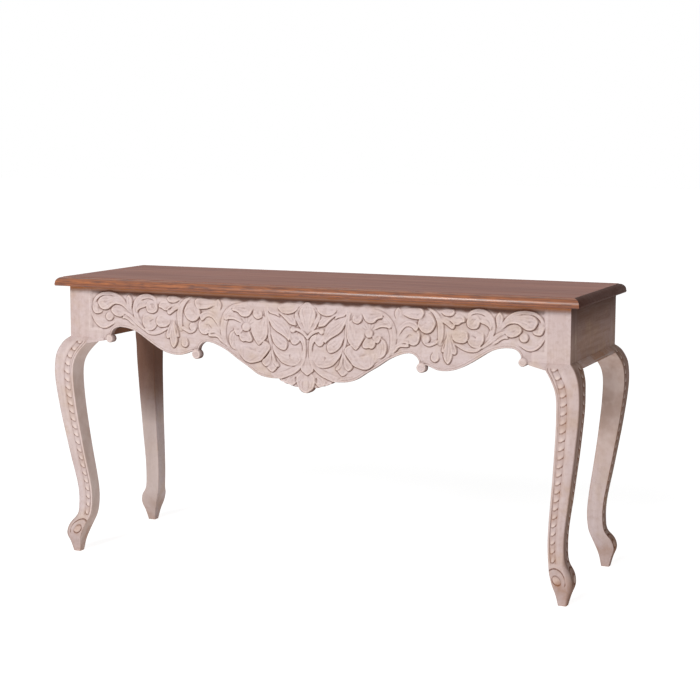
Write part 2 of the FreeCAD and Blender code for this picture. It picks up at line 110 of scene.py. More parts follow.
# Carving of the front apron, in millimetres. Heights are measured out from the face of the posts.
carving_step = 1.1
drawing_top = 755.0
axis_shift = 5.0
axis_reach = 200.0
axis_drift = 7.0
carving_gain = 1.2
stack_share = 0.35
carving_limit = 1.8
limit_sharpness = 2.5
field_height = -4.2
shell_height = -5.4
ear_height = -0.9
post_height = -0.1
border_height = -7.0
border_low = 727.0
border_high = 740.0
form_margin = 4.0
wall_width = 1.8
moat_depth = 2.2
moat_width = 1.7
moat_step = 2.0
edge_mix = 1.5
rim_roll = 2.4
rim_round = 0.35
band_round = 0.9
flute_depth = 1.2
flute_margins = (1.0, 5.0)
dish_depth = 0.8
dish_margins = (2.0, 8.0)
bead_width = 5.0
bead_groove = 1.7
bead_groove_width = 1.1
bead_crown = 0.9
second_groove = 0.85
second_groove_place = 10.5
second_groove_width = 1.2
edge_round = 1.8
rim_reach = 24.0
hand_wobble = 0.9
sway_rates = (0.043, 0.021)
lift_rate = 0.037
knob_margin = 1.5
knob_fade = 2.5
knob_height = -0.6
knob_rise = 1.8
curl_depth = 1.2
curl_width = 0.13
curl_start = 0.2
curl_pitch_share = 0.62
curl_shares = (0.32, 1.2)

# How many cells of the sheet, corners of the outline or places on it are worked on at a time
outline_piece = 12
outline_batches = 40
border_batches = 12

# Where parts of the apron's carving begin and end, in millimetres from the middle or up from the floor
bead_starts = (84.0, 100.0)
bead_ends = (592.0, 605.0)
bracket_start = 610.0
bead_top = 740.0
border_ends = (632.0, 656.0)
ear_starts = (612.0, 624.0)
ear_tops = (634.0, 644.0)
post_starts = (646.0, 657.0)
shell_across = [0, 24, 42, 62, 86]
shell_tops = [575, 560, 546, 537, 527]
shell_fade = (-2.0, 1.0)
shell_end = 92.0
knobs = ((324.4, 582.5, 12.5), (594.2, 611.2, 10.5))

# Finish of the apron. A tint is its strength per millimetre, the relief it starts from and its most.
# The brown in recesses is partly stain and partly painted shade, weighted to the lower edges of forms; the hollow
# tint is painted shade
shade_stain_tint = (0.85, 0.26, 0.95)
hollow_tint = (0.16, 0.2, 0.4)
wear_tint = (0.6, 0.14, 0.4)
highlight_tint = (0.38, 0.1, 0.6)
highlight_top = (736.0, 744.0)
overhang_slopes = (-0.15, 0.5)
# A wavy band of painted shade under the top's overhang, over the sunk border above the carving
border_waves = ((2.5, 0.061, 0.0), (1.5, 0.17, 1.0))
border_shade = (728.0, 738.0)
border_shade_top = (742.0, 747.0)
border_shade_ends = (600.0, 650.0)
border_shade_height = field_height + 1.0
border_shade_depth = 1.6
border_shade_share = 0.95
# The apron's back takes the dark brown as painted shade, and it runs onto the sawn edge
rear_tints = {"shade_stain": 0.9, "wear_and_shade": 0.0, "painted_highlight": 0.0}

# Painted brown shade on the wash under the top's overhang, on the front faces and down the end faces, from these
# heights and depths in metres
overhang_shade_high = 0.749
overhang_shade_low = 0.739
overhang_shade_share = 0.95
overhang_shade_front = -0.215
overhang_shade_back = -0.200
end_shade_high = 0.748
end_shade_low = 0.660
end_shade_share = 0.95

# Carving of the legs, in millimetres
leg_row_step = 1.6
leg_rows_end = 612.0
post_rows = [612.2, 613.0, 613.8, 616.0, 660.0, 700.0, 740.0, 755.0]
leg_top = 755.0
section_margin = 0.05
leg_face_points = 48
leg_fade = 12.0
post_foot = (596.0, 606.0)
sole_fade = (2.0, 8.0)
corner_heights = [0, 14, 40, 62, 84, 104, 130, 560, 606, 612, 614]
corner_radii = [4, 6, 9, 13, 13, 9, 3.5, 3.5, 3, 2, 1.2]
inner_heights = [0, 600, 608, 755]
inner_radii = [1.6, 1.6, 0.3, 0.3]
inner_shares = np.array([0, 0.03, 0.25, 0.5, 0.75, 0.97, 1])
chain_share = 0.32
chain_pitch = 22.6
chain_top_fade = (599.0, 605.0)
chain_foot_fade = (101.0, 107.0)
chain_foot = 104.0
chain_knee = 560.0
chain_narrow = 6.2
chain_wide = 9.2
link_rise = 2.2
link_bed = 1.5
link_wall = 1.2
link_end_wall = 0.06
link_length = 1.14
link_slant = 0.40
link_bow = 0.12
chain_groove = 0.8
chain_groove_gap = 0.9
chain_groove_width = 1.1
rim_place = 6.0
rim_groove = 0.9
rim_width = 1.0
rim_gap = 1.4
rim_foot = (96.0, 112.0)
rim_top = (600.0, 608.0)
border_gap = 4.0
border_depth = 0.35
border_width = 0.9
volute_height = 67.0
volute_inset = 16.0
volute_eye = 10.5
volute_rise = 2.4
volute_ring = 11.1
volute_reach = 25.0
volute_groove = 1.8
volute_crease = 2.16
volute_groove_width = 1.5

# Finish of the legs, from these heights in millimetres. The upper parts of the back legs, which the apron shadows,
# get painted shade.
right_shadow_heights = [250, 360, 480]
left_shadow_heights = [300, 410, 480]
shadow_shares = [0.0, 0.8, 1.0]
knee_fade = (590.0, 606.0)
worn_foot = (60.0, 130.0)
worn_knee = (585.0, 605.0)
foot_fade = (40.0, 110.0)
leg_shade_stain_tint = (1.8, 0.12, 0.9)
leg_wear_share = 0.3
leg_highlight_share = 0.9

# Marks in the finishes, in features per metre, first along the grain and then across it where they follow it
cloud_rate = 9.0
patch_rate = 16.0
mottle_rate = 75.0
speck_rate = 330.0
wash_streak_rates = (3.5, 60.0)
wash_grain_rates = (22.0, 420.0)
stain_band_rates = (1.8, 15.0)
stain_streak_rates = (2.6, 110.0)
stain_pore_rates = (11.0, 560.0)
stain_fleck_rates = (24.0, 260.0)
raw_streak_rates = (4.0, 240.0)
raw_pore_rates = (18.0, 800.0)
zinc_rate = 700.0
grain_depth = 0.20 * MM
speck_depth = 0.15 * MM
streak_depth = 0.30 * MM


# Colours and materials

def colour(red, green, blue):
    """An opaque linear colour from screen values of 0 to 255."""
    shares = [value / 255 for value in (red, green, blue)]
    linear = [s / 12.92 if s <= 0.04045 else ((s + 0.055) / 1.055) ** 2.4 for s in shares]
    return (*linear, 1.0)


class Shader:
    """One procedural material under construction, with its grain along one axis."""

    def __init__(self, name, axis="X"):
        self.material = bpy.data.materials.new(name)
        self.material.use_nodes = True
        self.nodes = self.material.node_tree.nodes
        self.links = self.material.node_tree.links
        self.surface = self.nodes["Principled BSDF"]
        self.place = self.nodes.new("ShaderNodeTexCoord").outputs["Object"]
        self.axis = axis

    def put(self, socket, value):
        """Link a socket to another node's output, or set its value."""
        if isinstance(value, bpy.types.NodeSocket):
            self.links.new(value, socket)
        else:
            socket.default_value = value

    def give(self, name, value):
        """Feed or set one input of the surface."""
        self.put(self.surface.inputs[name], value)

    def fill(self, node, inputs):
        """Feed or set a node's inputs, and pass the node on."""
        for name, value in inputs.items():
            self.put(node.inputs[name], value)
        return node

    def noise(self, along, across=None, offset=(0, 0, 0), detail=4.0, roughness=0.55, distortion=0.0):
        """Noise with so many features to the metre along the grain, and across it where that differs."""
        rates = [across or along] * 3
        rates["XYZ".index(self.axis)] = along
        mapping = self.nodes.new("ShaderNodeMapping")
        self.fill(mapping, {"Vector": self.place, "Scale": rates, "Location": offset})
        noise = self.nodes.new("ShaderNodeTexNoise")
        self.fill(noise, {"Vector": mapping.outputs["Vector"], "Scale": 1.0, "Detail": detail,
                          "Roughness": roughness, "Distortion": distortion})
        return noise.outputs["Fac"]

    def spread(self, value, low, high, to_low=0.0, to_high=1.0):
        """A value spread from one range onto another, clamped."""
        node = self.nodes.new("ShaderNodeMapRange")
        self.fill(node, {"Value": value, "From Min": low, "From Max": high, "To Min": to_low, "To Max": to_high})
        return node.outputs["Result"]

    def blend(self, share, first, second):
        """A mix of two colours."""
        node = self.nodes.new("ShaderNodeMix")
        node.data_type = "RGBA"
        return self.fill(node, {"Factor": share, 6: first, 7: second}).outputs[2]

    def layered(self, tone, layers):
        """A colour with others laid over it, each by its share."""
        for share, tint in layers:
            tone = self.blend(share, tone, tint)
        return tone

    def times(self, first, second, operation="MULTIPLY"):
        """The product of two values, or what another operation makes of them."""
        node = self.nodes.new("ShaderNodeMath")
        node.operation = operation
        return self.fill(node, {0: first, 1: second}).outputs["Value"]

    def painted(self, name):
        """A value that the mesh carries at its points."""
        node = self.nodes.new("ShaderNodeAttribute")
        node.attribute_name = name
        return node.outputs["Fac"]

    def position(self, axis):
        """Position along one axis of the frame."""
        return self.fill(self.nodes.new("ShaderNodeSeparateXYZ"), {"Vector": self.place}).outputs[axis]

    def bump(self, height, strength, distance, below=None):
        """A bumped normal, over another one if given."""
        node = self.nodes.new("ShaderNodeBump")
        self.fill(node, {"Strength": strength, "Distance": distance, "Height": height})
        if below is not None:
            self.put(node.inputs["Normal"], below)
        return node.outputs["Normal"]


def whitewash(name, axis):
    """Thin chalky wash over wood: faint grain and tinted patches; brown on rubbed edges, and as warm painted shade
    where the mesh marks it; brown in recesses, partly stain and partly painted shade; painted brown shade under the
    top and down the ends; a darker wash as painted shade; painted highlights on crests.
    """
    shader = Shader(name, axis)
    cloud = shader.noise(cloud_rate, detail=3.0)
    patch = shader.noise(patch_rate, offset=(4.0, 2.0, 7.0), detail=3.0, roughness=0.65)
    broad = shader.noise(*wash_streak_rates)
    fine = shader.noise(*wash_grain_rates, detail=3.0)
    speck = shader.noise(speck_rate, detail=2.0)
    mottle = shader.noise(mottle_rate, offset=(1.0, 5.0, 3.0), roughness=0.7)
    wash_shade, shade_stain, wear_and_shade = shader.painted("wash_shade"), shader.painted("shade_stain"), shader.painted("wear_and_shade")
    # Where the mesh asks for it, the darker wash is painted shade
    thin = shader.blend(wash_shade, thin_wash, shaded_thin_wash)
    streaky = shader.times(shader.spread(broad, 0.42, 0.66, 0.0, 0.60), shader.spread(wash_shade, 0.0, 1.0, 0.40, 1.0))
    # Painted shade: brown under the top's overhang on the front faces without the darker wash, and darker towards the
    # top of the end faces
    in_front = shader.spread(shader.position("Y"), overhang_shade_front, overhang_shade_back, 1.0, 0.0)
    bright_front = shader.times(in_front, shader.spread(wash_shade, 0.0, 1.0, 1.0, 0.0))
    over_front = shader.times(shader.spread(shader.position("Z"), overhang_shade_low, overhang_shade_high, 0.0, overhang_shade_share), bright_front)
    over_end = shader.spread(shader.position("Z"), end_shade_low, end_shade_high, 0.0, end_shade_share)
    shader.give("Base Color", shader.layered(shader.blend(wash_shade, cream, shaded_cream), [
        (shader.spread(cloud, 0.40, 0.60, 0.0, 0.12), lilac),
        (shader.spread(patch, 0.50, 0.72, 0.0, 0.40), straw),
        (streaky, thin),
        (shader.spread(mottle, 0.48, 0.72, 0.0, 0.38), thin),
        (shader.spread(fine, 0.50, 0.76, 0.0, 0.22), thin),
        (shader.painted("painted_highlight"), highlight_chalk),
        (shader.times(shade_stain, shader.spread(speck, 0.3, 0.7, 0.92, 1.0)), groove_stain_and_shade),
        (shader.times(wear_and_shade, shader.spread(patch, 0.36, 0.60, 0.25, 1.0)), rubbed_wood_and_shade),
        (shader.times(over_front, shader.spread(patch, 0.3, 0.6, 0.8, 1.0)), overhang_shade_brown),
        (shader.times(over_end, wash_shade), shade_brown)]))
    shader.give("Roughness", shader.spread(fine, 0.3, 0.7, 0.55, 0.75))
    matt = shader.spread(shade_stain, 0.0, 0.6, 1.0, 0.1)
    shader.give("Specular IOR Level", shader.times(shader.spread(wash_shade, 0.0, 1.0, 0.20, 0.03), matt))
    grain = shader.bump(fine, 0.25, grain_depth)
    shader.give("Normal", shader.bump(speck, 0.18, speck_depth, grain))
    return shader.material


def stained(name, offset, light, dark, line):
    """Brown stained wood with its grain along X, redder, paler and shinier where it is rubbed, and darker with
    painted shade where the mesh marks it.
    """
    shader = Shader(name)
    band = shader.noise(*stain_band_rates, offset, roughness=0.6, distortion=0.8)
    streak = shader.noise(*stain_streak_rates, offset)
    pore = shader.noise(*stain_pore_rates, offset, detail=3.0, roughness=0.6)
    fleck = shader.noise(*stain_fleck_rates, offset, roughness=0.6, distortion=0.4)
    wear_and_shade, shade_stain = shader.painted("wear_and_shade"), shader.painted("shade_stain")
    shader.give("Base Color", shader.layered(light, [
        (shader.spread(band, 0.36, 0.66, 0.0, 0.42), dark),
        (shader.spread(streak, 0.42, 0.66, 0.0, 0.60), dark),
        (shader.spread(pore, 0.54, 0.76, 0.0, 0.45), line),
        (wear_and_shade, shader.blend(shader.spread(fleck, 0.36, 0.64), edge_tan, edge_brown)),
        (shade_stain, line)]))
    rough = shader.spread(streak, 0.3, 0.7, 0.46, 0.56)
    shader.give("Roughness", shader.times(rough, shader.times(wear_and_shade, 0.16), "SUBTRACT"))
    matt = shader.spread(shade_stain, 0.3, 0.9, 1.0, 0.15)
    shader.give("Specular IOR Level", shader.times(shader.spread(wear_and_shade, 0.0, 1.0, 0.12, 0.85), matt))
    grain = shader.bump(pore, 0.10, speck_depth)
    shader.give("Normal", shader.bump(streak, 0.06, streak_depth, grain))
    return shader.material


def plain_wood(name, axis, light, dark):
    """Unfinished wood of the hidden parts."""
    shader = Shader(name, axis)
    streak = shader.noise(*raw_streak_rates)
    pore = shader.noise(*raw_pore_rates)
    shader.give("Base Color", shader.layered(light, [
        (shader.spread(streak, 0.35, 0.68), dark),
        (shader.spread(pore, 0.55, 0.75, 0.0, 0.6), dark)]))
    shader.give("Roughness", 0.75)
    shader.give("Normal", shader.bump(pore, 0.3, grain_depth))
    return shader.material


def zinc(name):
    """Plated steel of the screws."""
    shader = Shader(name)
    cloud = shader.noise(zinc_rate, detail=2.0)
    shader.give("Base Color", shader.blend(cloud, colour(205, 205, 200), colour(150, 152, 155)))
    shader.give("Metallic", 1.0)
    shader.give("Roughness", shader.spread(cloud, 0.2, 0.8, 0.28, 0.45))
    return shader.material


cream = colour(217, 198, 194)
# Light colour of the painted highlights on crests
highlight_chalk = colour(242, 221, 212)
lilac = colour(196, 180, 196)
straw = colour(206, 180, 150)
thin_wash = colour(176, 148, 136)
# Darker wash, laid as painted shade on the end faces, the back apron and the shadowed upper part of the back left leg
shaded_cream = colour(164, 136, 124)
shaded_thin_wash = colour(134, 104, 90)
# Brown of the recesses, partly stain and partly painted shade
groove_stain_and_shade = colour(112, 78, 64)
# Colours of the painted shade under the top's overhang and down the end faces
overhang_shade_brown = colour(205, 130, 80)
shade_brown = colour(78, 49, 38)
# Brown of rubbed edges, also laid as warm painted shade on the shadowed inner faces of some legs
rubbed_wood_and_shade = colour(160, 110, 78)
edge_tan = colour(168, 93, 36)
edge_brown = colour(94, 44, 18)
# Dark colour of the grain's pores, also used as painted shade on the top's moulding and ends
grain_and_shade_line = colour(62, 34, 24)
carved_paint = whitewash("carved_whitewash", "X")
leg_paint = whitewash("leg_whitewash", "Z")
side_paint = whitewash("side_whitewash", "Y")
raw_wood = plain_wood("raw_wood", "X", colour(196, 164, 124), colour(150, 116, 80))
raw_wood_deep = plain_wood("raw_wood_across", "Y", colour(190, 158, 118), colour(146, 112, 78))
dowel_wood = plain_wood("dowel_wood", "Z", colour(214, 188, 150), colour(176, 146, 106))
screw_steel = zinc("screw_steel")
board_tones = [((158, 99, 79), (118, 67, 52)), ((155, 97, 79), (116, 66, 52)), ((160, 101, 82), (120, 70, 55)),
               ((156, 97, 77), (117, 66, 51))]
top_stains = [stained("board_stain_%d" % k, (3.7 * k, 1.9 * k, 0.4), colour(*light), colour(*dark), grain_and_shade_line)
              for k, (light, dark) in enumerate(board_tones)]


# Meshes

def shown(name, mesh, material, nodes):
    """Show a mesh as a piece that stands for CAD nodes."""
    piece = bpy.data.objects.new(name, mesh)
    bpy.context.scene.collection.objects.link(piece)
    mesh.materials.clear()
    mesh.materials.append(material)
    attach(piece, "root")
    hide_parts(*nodes)
    return piece


def smooth_but(mesh, sharp_degrees):
    """Shade a mesh smooth but for its sharp edges."""
    mesh.shade_smooth()
    mesh.set_sharp_from_angle(angle=math.radians(sharp_degrees))
    return mesh


def mesh_of(name, points, faces, sharp_degrees, values):
    """A mesh from an array of points, lists of faces and the values that its points carry."""
    mesh = bpy.data.meshes.new(name)
    mesh.from_pydata(np.asarray(points).tolist(), [], faces)
    mesh.validate()
    for label, numbers in values.items():
        attribute = mesh.attributes.new(label, "FLOAT", "POINT")
        attribute.data.foreach_set("value", np.asarray(numbers, np.float32).ravel())
    return smooth_but(mesh, sharp_degrees)


def skin(rings, count, turned):
    """Faces of a closed skin over rings of count points each, turned over if asked."""
    faces = []
    for row in range(rings - 1):
        for k in range(count):
            after = (k + 1) % count
            faces.append([row * count + k, row * count + after, (row + 1) * count + after, (row + 1) * count + k])
    faces.append(list(range(count))[::-1])
    faces.append([(rings - 1) * count + k for k in range(count)])
    return [face[::-1] for face in faces] if turned else faces


def blurred(grid, reach, passes=2):
    """A grid averaged over its neighbours, reach cells each way."""
    for _ in range(passes):
        for axis in (0, 1):
            margins = [(0, 0), (0, 0)]
            margins[axis] = (reach, reach)
            padded = np.pad(grid, margins, mode="edge")
            count = grid.shape[axis]
            slices = [np.take(padded, range(k, k + count), axis) for k in range(2 * reach + 1)]
            grid = sum(slices) / len(slices)
    return grid


def within(values):
    """Values held between zero and one."""
    return np.clip(values, 0, 1)


def smooth_step(values, low, high):
    """Zero below low, one above high and smooth between."""
    t = within((values - low) / (high - low))
    return t * t * (3 - 2 * t)


# Drawing

def smooth_curve(points, closed, per_span=7):
    """A smooth curve through points."""
    p = np.asarray(points, float)
    if not closed:
        p = np.vstack([2 * p[0] - p[1], p, 2 * p[-1] - p[-2]])
    before, after, beyond = np.roll(p, 1, 0), np.roll(p, -1, 0), np.roll(p, -2, 0)
    t = np.linspace(0, 1, per_span, endpoint=False)[:, None, None]
    curve = p + 0.5 * ((after - before) * t + (2 * before - 5 * p + 4 * after - beyond) * t ** 2
                       + (3 * p - before - 3 * after + beyond) * t ** 3)
    curve = curve.transpose(1, 0, 2)
    if closed:
        return curve.reshape(-1, 2)
    return np.vstack([curve[1:-2].reshape(-1, 2), p[-2]])


def distance_to(points, line):
    """Distance from each point to an open line, and how far along it the nearest place is, from 0 to 1."""
    start = line[:-1]
    step = line[1:] - start
    length = np.sqrt((step ** 2).sum(1)) + TINY
    offset = points[:, None, :] - start[None]
    along = within((offset * step).sum(2) / length ** 2)
    gap = ((offset - along[..., None] * step) ** 2).sum(2)
    nearest = gap.argmin(1)
    row = np.arange(len(points))
    run = np.concatenate([[0], np.cumsum(length)])
    return np.sqrt(gap[row, nearest]), (run[nearest] + along[row, nearest] * length[nearest]) / run[-1]


def inside(points, outline):
    """True for points inside a closed outline."""
    x, z = points[:, :1], points[:, 1:]
    x0, z0 = outline[:, 0], outline[:, 1]
    x1, z1 = np.roll(x0, -1), np.roll(z0, -1)
    crossing = (z0 > z) != (z1 > z)
    edge_x = (x1 - x0) * (z - z0) / (z1 - z0 + TINY) + x0
    return (crossing & (x < edge_x)).sum(1) % 2 == 1


class Carving:
    """A carved sheet: a height in millimetres for every point of a drawing, laid form over form."""

    def __init__(self, points, height, level):
        self.points = points
        self.height = height
        self.level = level

    def near(self, curve, reach):
        """Which points lie near a curve."""
        low, high = curve.min(0) - reach, curve.max(0) + reach
        return np.flatnonzero(((self.points >= low) & (self.points <= high)).all(1))

    def lay(self, spots, signed, rise, weight):
        """Lay one form: signed is the distance inside its outline, rise its height, weight how crisp its edge is."""
        below = self.height[spots]
        ground = np.maximum(below, self.level)
        top = np.maximum(self.level + rise + stack_share * (ground - self.level), below)
        top = carving_limit - np.logaddexp(0, limit_sharpness * (carving_limit - top)) / limit_sharpness
        step = within((top - below) / moat_step)
        moat = moat_depth * weight * np.exp(-(np.minimum(signed, 0) / moat_width) ** 2) * (signed < wall_width)
        cover = within(signed / wall_width + 0.5)
        self.height[spots] = (below - moat * step) * (1 - cover) + top * cover

    def leaf(self, rise, flutes, there, back, lean=0.3, tip=1.0):
        """A leaf that stands out along its crisp edge, root there to tip, and sinks back to its softer edge."""
        curve = smooth_curve(there + back, True)
        middle = (len(there) - 1) * (len(curve) // len(there + back))
        spots = self.near(curve, form_margin)
        points = self.points[spots]
        to_crisp, on_crisp = distance_to(points, curve[:middle + 1])
        to_soft, on_soft = distance_to(points, np.vstack([curve[middle:], curve[:1]]))
        edge = np.minimum(to_crisp, to_soft)
        signed = np.where(inside(points, curve), edge, -edge)
        crisp = smooth_step(on_crisp, 0.0, 0.3) * (1 - (1 - tip) * smooth_step(on_crisp, 0.7, 1.0))
        soft = lean + tip * (1 - lean) * (1 - smooth_step(on_soft, 0.0, 0.3)) - lean * smooth_step(on_soft, 0.6, 1.0)
        near_crisp, near_soft = np.exp((edge - to_crisp) / edge_mix), np.exp((edge - to_soft) / edge_mix)
        weight = (crisp * near_crisp + soft * near_soft) / (near_crisp + near_soft)
        share = to_crisp / (to_crisp + to_soft + TINY)
        high = crisp * (1 - share) + soft * share
        roll = rim_round * weight * (1 - within(signed / rim_roll)) ** 2
        groove = 0.5 - 0.5 * np.cos(2 * math.pi * (flutes + 0.5) * share)
        groove = groove * smooth_step(signed, *flute_margins) * smooth_step(on_crisp, 0.0, 0.4)
        groove = groove * np.clip(2 * high, 0.3, 1)
        dish = dish_depth * smooth_step(signed, *dish_margins) * high
        self.lay(spots, signed, rise * (carving_gain * high - roll) - flute_depth * groove - dish, weight)

    def band(self, rise, widths, places, hollow=0.8, grooves=1):
        """A stem or ring of changing width with grooves along it."""
        curve = smooth_curve(places, False)
        spots = self.near(curve, max(widths) / 2 + form_margin)
        away, along = distance_to(self.points[spots], curve)
        half = np.interp(along, np.linspace(0, 1, len(widths)), widths) / 2
        signed = half - away
        roll = band_round * (1 - within(signed / rim_roll)) ** 2
        wave = 0.5 + 0.5 * np.cos(math.pi * grooves * within(away / half))
        ends = smooth_step(along, 0.0, 0.12) * (1 - smooth_step(along, 0.88, 1.0))
        self.lay(spots, signed, ends * (carving_gain * rise - roll - hollow * wave), ends)

    def ball(self, rise, radius, centre, hollow=0.0):
        """A round boss that stands out on its lower right and sinks back on its upper left."""
        spots = self.near(np.array([centre, centre], float), radius + form_margin)
        offset = self.points[spots] - np.array(centre)
        away = np.sqrt((offset ** 2).sum(1))
        dome = np.sqrt(within(1 - (away / radius) ** 2))
        dish = hollow * within(1 - (1.7 * away / radius) ** 2)
        facing = smooth_step((0.45 * offset[:, 0] - 0.89 * offset[:, 1]) / radius, -0.9, 0.3)
        high = carving_gain * rise * (0.45 + 0.55 * dome) * (0.35 + 0.65 * facing)
        self.lay(spots, radius - away, high - dish, 0.15 + 0.85 * facing)

    def cut(self, depth, width, places):
        """A tapered gouge cut along a line."""
        curve = smooth_curve(places, False)
        spots = self.near(curve, 3 * width)
        away, along = distance_to(self.points[spots], curve)
        taper = np.sqrt(within(4 * along * (1 - along)))
        self.height[spots] -= depth * taper * np.exp(-(away / width) ** 2)


# Carved ornament. The right half is drawn, and the left half mirrors it with a slight drift. A leaf is its rise,
# its flutes, its crisp edge from root to tip, its softer edge back, and how far it stands out there and at its tip.
# A band is its rise, its widths and its places, a ball its rise, radius and place, a cut its depth, width and places.

def carve_shell(sheet):
    """The ribbed shell over the pendant, drawn from the middle line outwards."""
    sheet.leaf(2.2, 3, [(45, 545), (46, 532), (52, 521), (60, 517), (71, 521)], [(74, 528), (64, 537)], 0.3)
    sheet.leaf(3.0, 3, [(20, 552), (22, 532), (30, 520), (41, 513), (53, 518)],
        [(57, 526), (52, 537), (36, 546)], 0.2)
    sheet.leaf(4.4, 5, [(0, 560), (-14, 551), (-24, 540), (-27, 526), (-22, 511), (-12, 501), (0, 496)],
        [(12, 501), (22, 511), (27, 526), (24, 540), (14, 551)], 0.6)
    sheet.cut(2.6, 2.6, [(29, 538), (30, 530), (31, 523)])
    sheet.cut(2.2, 2.4, [(19, 494), (24, 500), (27, 508)])
    for across in (9, 17):
        sheet.cut(0.7, 2.0, [(0.4 * across, 548), (0.9 * across, 528), (across, 508)])


def carve_heart(sheet):
    """The middle leaf, its pendant bud and the strapwork that curls up on each side."""
    sheet.leaf(2.6, 2, [(5, 594), (18, 576), (23, 558), (14, 549), (5, 543.5)],
        [(-5, 549), (-13, 558), (-8, 576)], 0.8)
    sheet.leaf(2.4, 3, [(95, 560), (50, 566), (28, 580), (20, 600), (20, 622), (30, 641), (32, 653),
        (20, 650), (12, 640), (9, 622), (9, 600), (13, 580), (24, 560), (42, 545), (62, 536), (84, 529)],
        [(100, 534), (112, 546)], 0.2)
    sheet.cut(1.2, 1.5,
        [(30, 632), (22, 628), (18, 612), (18, 596), (24, 580), (38, 568), (60, 556), (90, 545)])
    sheet.leaf(2.4, 3, [(5, 648), (24, 664), (36, 682), (42, 696), (41, 708), (34, 716)],
        [(20, 730), (5, 738), (-20, 722), (-31, 700), (-24, 682), (-10, 664)], 0.4, 0.5)
    sheet.leaf(3.0, 5, [(5, 650), (14, 668), (23, 686), (29, 700), (27, 716), (18, 726), (5, 731)],
        [(-8, 726), (-17, 716), (-19, 700), (-13, 686), (-4, 668)], 0.5, 0.3)
    sheet.cut(1.8, 1.8, [(17, 687), (24, 692), (31, 706)])
    sheet.band(2.6, [6, 8, 9, 9, 8], [(0, 636), (12, 650), (22, 658), (34, 663), (45, 663)], 0.4)
    sheet.ball(4.0, 8, (46, 662))


def carve_inner_leaves(sheet):
    """The acanthus leaves between the middle leaf and the first flower."""
    sheet.leaf(3.4, 4, [(108, 630), (104, 609), (98, 596), (90, 586), (80, 575), (68, 569), (54, 565.5),
        (38, 567), (27, 576)], [(20, 592), (22, 612), (45, 621), (66, 610), (84, 614), (94, 622)], 0.1, 0.6)
    sheet.cut(1.7, 1.7, [(49, 600), (55, 594), (54, 585), (43, 579)])
    sheet.leaf(3.6, 3,
        [(112, 658), (106, 638), (102, 627), (93, 616), (82, 609), (72, 606.5), (65, 609), (61.5, 617)],
        [(62, 628), (70, 638), (82, 646), (95, 652)], 0.15)
    sheet.leaf(4.2, 4, [(122, 716), (116, 691), (110, 677), (102, 664.5), (92, 656.5), (80, 649.5),
        (70, 643), (62, 636.5), (56, 631)],
        [(52, 642), (52, 655), (56, 668), (64, 682), (76, 690), (92, 697), (106, 705)], 0.15)
    sheet.leaf(3.8, 2, [(54, 660), (55, 642), (50, 627), (40, 622), (30, 628)],
        [(26, 636), (30, 650), (42, 655)], 0.1, 0.7)
    sheet.leaf(3.4, 2, [(124, 728), (114, 708), (104, 702.5), (94, 700), (84, 695)],
        [(88, 706), (104, 714)], 0.05)
    sheet.leaf(4.2, 3, [(96, 712), (80, 700), (73, 694), (66, 687), (56, 677.5), (47, 674.5), (37, 674)],
        [(38, 684), (44, 696), (54, 703), (72, 708)], 0.1)
    sheet.leaf(4.4, 2,
        [(32, 730), (32, 722), (35, 715), (44, 707.5), (56, 703.5), (68, 703.5), (78, 707), (85, 713)],
        [(88, 722), (70, 732), (46, 733)], 0.0, 0.6)


def carve_tulip(sheet):
    """The three-lobed bud that hangs between the two big scrolls."""
    sheet.leaf(3.6, 2, [(107, 616), (101, 594), (94, 574), (91, 562), (97, 553), (105, 547)],
        [(114, 551), (122, 560), (120, 574), (112, 594)], 0.3)
    sheet.leaf(3.6, 1, [(108, 614), (107, 590), (104, 575), (97, 565), (90, 561), (86, 563.5)],
        [(88, 570), (97, 580), (104, 596)], 0.15)
    sheet.leaf(3.8, 2,
        [(110, 614), (116, 598), (125, 586), (134, 578), (134, 570), (128, 563.5), (122, 561.5)],
        [(116, 566), (110, 574), (108, 590)], 0.25)
    sheet.band(1.9, [14, 12, 11, 9, 8, 5],
        [(126, 724), (121, 705), (118, 672), (115, 645), (111, 625), (109, 600)], 0.9)


